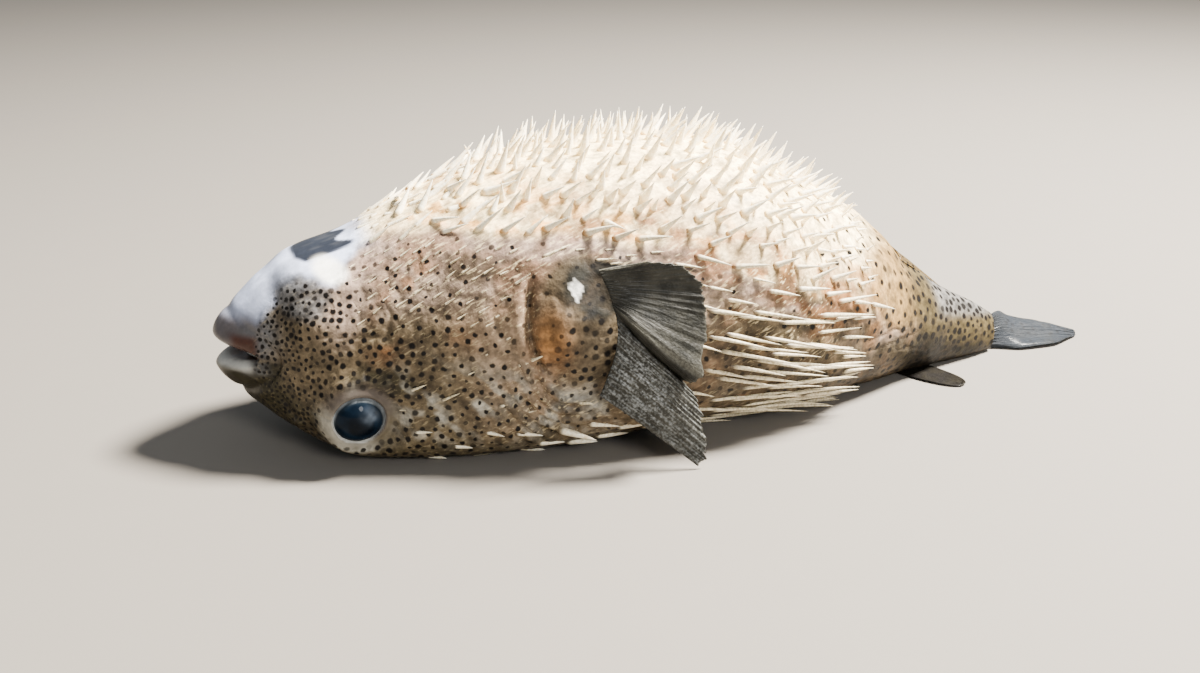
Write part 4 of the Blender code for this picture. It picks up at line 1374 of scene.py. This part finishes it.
def build_fins(sizes, colours):
    """The pair of pectoral fins, mirrored, and the tail, dorsal and anal fins."""
    spot, glint = colours.spot, colours.glint
    dark = fin_finish("wet_dark_fin", colours.fin_dark, colours.fin_light, spot, glint)
    slate = fin_finish("wet_slate_fin", colours.tail_dark, colours.tail_light, spot, glint)
    brown = fin_finish("wet_brown_fin", spot, colours.snout, spot, glint)
    tan = fin_finish("wet_tan_fin", colours.stalk, colours.buff, spot, glint)
    rows, columns, rays = 46, 331, sizes.fin_rays
    for name, side in (("left", 1), ("right", -1)):
        out, (down,) = fin_axes(rows, columns, left=0)
        down = down[::side]
        # Pale: the worn top edge, a painted highlight along the ridge of the fold, and the lower lobe painted
        # lighter where it faces the light.
        pale = ramp(0.035, 0.0, down) + 0.8 * bell(down, 0.47, 0.018) + 0.5 * ramp(0.56, 0.7, down)
        # Painted glints, thickest on the lower lobe, near its root.
        painted_glints = 0.05 + 0.35 * ramp(0.56, 0.66, down) + 0.9 * bell(down, 0.82, 0.16) * bell(out, 0.3, 0.3)
        middle = pectoral_middle(side, rows, columns, rays)
        node = "pectoral_fin_" + name
        fin_shell("pectoral_fan_" + name, middle, 2.2, rays, dark, node, pale=pale, painted_glints=painted_glints)
    fin_shell("tail_fan", caudal_middle(44, 161), 2.4, 11, slate, "caudal_fin", ripple=0.25, dotted=0.4)
    fin_shell("dorsal_fan", dorsal_middle(36, 161), 1.5, 14, brown, "dorsal_fin", ripple=0.15, dotted=0.5)
    fin_shell("anal_fan", anal_middle(36, 141), 1.2, 13, tan, "anal_fin", ripple=0.15, dotted=0.9, pale=0.5)


def build_beak(node, up, finish):
    """A tooth plate: its blunt edge swept round the mouth's arch, thicker at the root than at the edge."""
    low, high = node_box(node)
    rows, columns = 33, 14
    sweep = np.linspace(-1, 1, rows)[:, None]
    turn = np.linspace(0, 2 * math.pi, columns + 1)[None, :-1]
    depth, half_width, tall = (high - low) * (0.32, 0.5, 1)
    edge = np.clip(-up * np.sin(turn), 0, 1)
    x = low[0] + depth + 5.5 * sweep**2 + np.cos(turn) * depth * (1 - 0.55 * edge)
    y = sweep * (half_width - 0.4) + 0 * turn
    z = (low[2] + high[2]) / 2 + np.sin(turn) * tall * 0.5 * (1 - 0.2 * sweep**2)
    grid = np.stack([x, y, z], axis=-1)
    u, v = np.linspace(0.02, 0.98, rows), np.linspace(0, 1, columns + 1)
    piece = capped_tube(grid, grid[0].mean(axis=0), grid[-1].mean(axis=0), u, v)
    make_piece("tooth_plate_" + node[5:], *piece, finish, "ivory", (), (node,))


# ---- operators ----
class PORCUPINEFISH_OT_skin(bpy.types.Operator):
    """Build the one skin of head, trunk and tail stalk"""

    bl_idname = "porcupinefish.skin"
    bl_label = "Skin"

    def execute(self, context):
        build_skin(context.scene.fish_colours)
        return {"FINISHED"}


class PORCUPINEFISH_OT_eyes(bpy.types.Operator):
    """Build both eyeballs"""

    bl_idname = "porcupinefish.eyes"
    bl_label = "Eyes"

    def execute(self, context):
        build_eye("eyeball_left", 1)
        build_eye("eyeball_right", -1)
        return {"FINISHED"}


class PORCUPINEFISH_OT_beak(bpy.types.Operator):
    """Build the two tooth plates"""

    bl_idname = "porcupinefish.beak"
    bl_label = "Beak"

    def execute(self, context):
        finish = beak_finish(context.scene.fish_colours)
        build_beak("beak_lower", 1, finish)
        build_beak("beak_upper", -1, finish)
        return {"FINISHED"}


class PORCUPINEFISH_OT_fins(bpy.types.Operator):
    """Build the pectoral, dorsal, anal and tail fins"""

    bl_idname = "porcupinefish.fins"
    bl_label = "Fins"

    def execute(self, context):
        build_fins(context.scene.fish_sizes, context.scene.fish_colours)
        return {"FINISHED"}


class PORCUPINEFISH_OT_spines(bpy.types.Operator):
    """Build the coat of spines"""

    bl_idname = "porcupinefish.spines"
    bl_label = "Spines"

    def execute(self, context):
        if not build_spines(context.scene.fish_sizes, context.scene.fish_colours):
            raise RuntimeError("no spine found room on the skin")
        return {"FINISHED"}


class PORCUPINEFISH_OT_stage(bpy.types.Operator):
    """Set the floor, the soft lights and the camera"""

    bl_idname = "porcupinefish.stage"
    bl_label = "Stage"

    def execute(self, context):
        stage = context.scene.fish_stage
        build_floor(stage.floor)
        build_lights()
        build_camera(context.scene, stage)
        return {"FINISHED"}


def build_floor(colour):
    """A square floor about the origin."""
    half = 6.0
    mesh = bpy.data.meshes.new("studio_floor")
    corners = (-half, -half, 0), (half, -half, 0), (half, half, 0), (-half, half, 0)
    mesh.from_pydata(corners, [], [(0, 1, 2, 3)])
    mesh.materials.append(floor_finish(colour))
    floor = bpy.data.objects.new("studio_floor", mesh)
    bpy.context.scene.collection.objects.link(floor)


def build_lights():
    """A high soft key over the tail, a broad low fill from the viewer's side and an even sky."""
    aim = Vector((-0.03, 0, 0.05))
    for name, place, size, power, colour in (
        ("key", (1.0, -0.12, 1.55), 0.45, 450.0, (1.0, 0.94, 0.85)),
        ("fill", (0.2, -1.55, 0.85), 0.5, 19.0, (1.0, 0.98, 0.95)),
    ):
        data = bpy.data.lights.new(name, "AREA")
        data.shape, data.size, data.energy, data.color = "DISK", size, power, colour
        lamp = bpy.data.objects.new(name, data)
        lamp.location = place
        lamp.rotation_euler = (aim - Vector(place)).to_track_quat("-Z", "Y").to_euler()
        bpy.context.scene.collection.objects.link(lamp)
    world = bpy.data.worlds.new("soft_sky")
    world.use_nodes = True
    sky = world.node_tree.nodes["Background"]
    for key, value in (("Color", (0.88, 0.94, 1.0, 1)), ("Strength", 0.38)):
        sky.inputs[key].default_value = value
    bpy.context.scene.world = world


def build_camera(scene, stage):
    """The viewer, at a distance from the aim and turned to it."""
    data = bpy.data.cameras.new("viewer")
    data.angle = stage.field
    camera = bpy.data.objects.new("viewer", data)
    away = Vector((
        math.sin(stage.azimuth) * math.cos(stage.elevation),
        -math.cos(stage.azimuth) * math.cos(stage.elevation),
        math.sin(stage.elevation),
    ))
    camera.location = Vector(stage.aim) + away * stage.distance
    camera.rotation_euler = away.to_track_quat("Z", "Y").to_euler()
    scene.collection.objects.link(camera)
    scene.camera = camera


class PORCUPINEFISH_PT_panel(bpy.types.Panel):
    """The fish's operators and settings"""

    bl_idname = "PORCUPINEFISH_PT_panel"
    bl_label = "Porcupinefish"
    bl_space_type = "VIEW_3D"
    bl_region_type = "UI"
    bl_category = "Porcupinefish"

    def draw(self, context):
        for operator in OPERATORS:
            self.layout.operator(operator.bl_idname)
        for group in (context.scene.fish_sizes, context.scene.fish_colours, context.scene.fish_stage):
            box = self.layout.box()
            for key in group.bl_rna.properties.keys():
                if key not in ("rna_type", "name"):
                    box.prop(group, key)


OPERATORS = (
    PORCUPINEFISH_OT_skin,
    PORCUPINEFISH_OT_eyes,
    PORCUPINEFISH_OT_beak,
    PORCUPINEFISH_OT_fins,
    PORCUPINEFISH_OT_spines,
    PORCUPINEFISH_OT_stage,
)
CLASSES = (SizeSettings, ColourSettings, StageSettings) + OPERATORS + (PORCUPINEFISH_PT_panel,)


def register():
    for item in CLASSES:
        bpy.utils.register_class(item)
    bpy.types.Scene.fish_sizes = PointerProperty(type=SizeSettings)
    bpy.types.Scene.fish_colours = PointerProperty(type=ColourSettings)
    bpy.types.Scene.fish_stage = PointerProperty(type=StageSettings)


def unregister():
    for name in ("fish_stage", "fish_colours", "fish_sizes"):
        delattr(bpy.types.Scene, name)
    for item in reversed(CLASSES):
        bpy.utils.unregister_class(item)


def main():
    register()
    for operator in OPERATORS:
        group, name = operator.bl_idname.split(".")
        getattr(getattr(bpy.ops, group), name)()


if __name__ == "__main__":
    main()
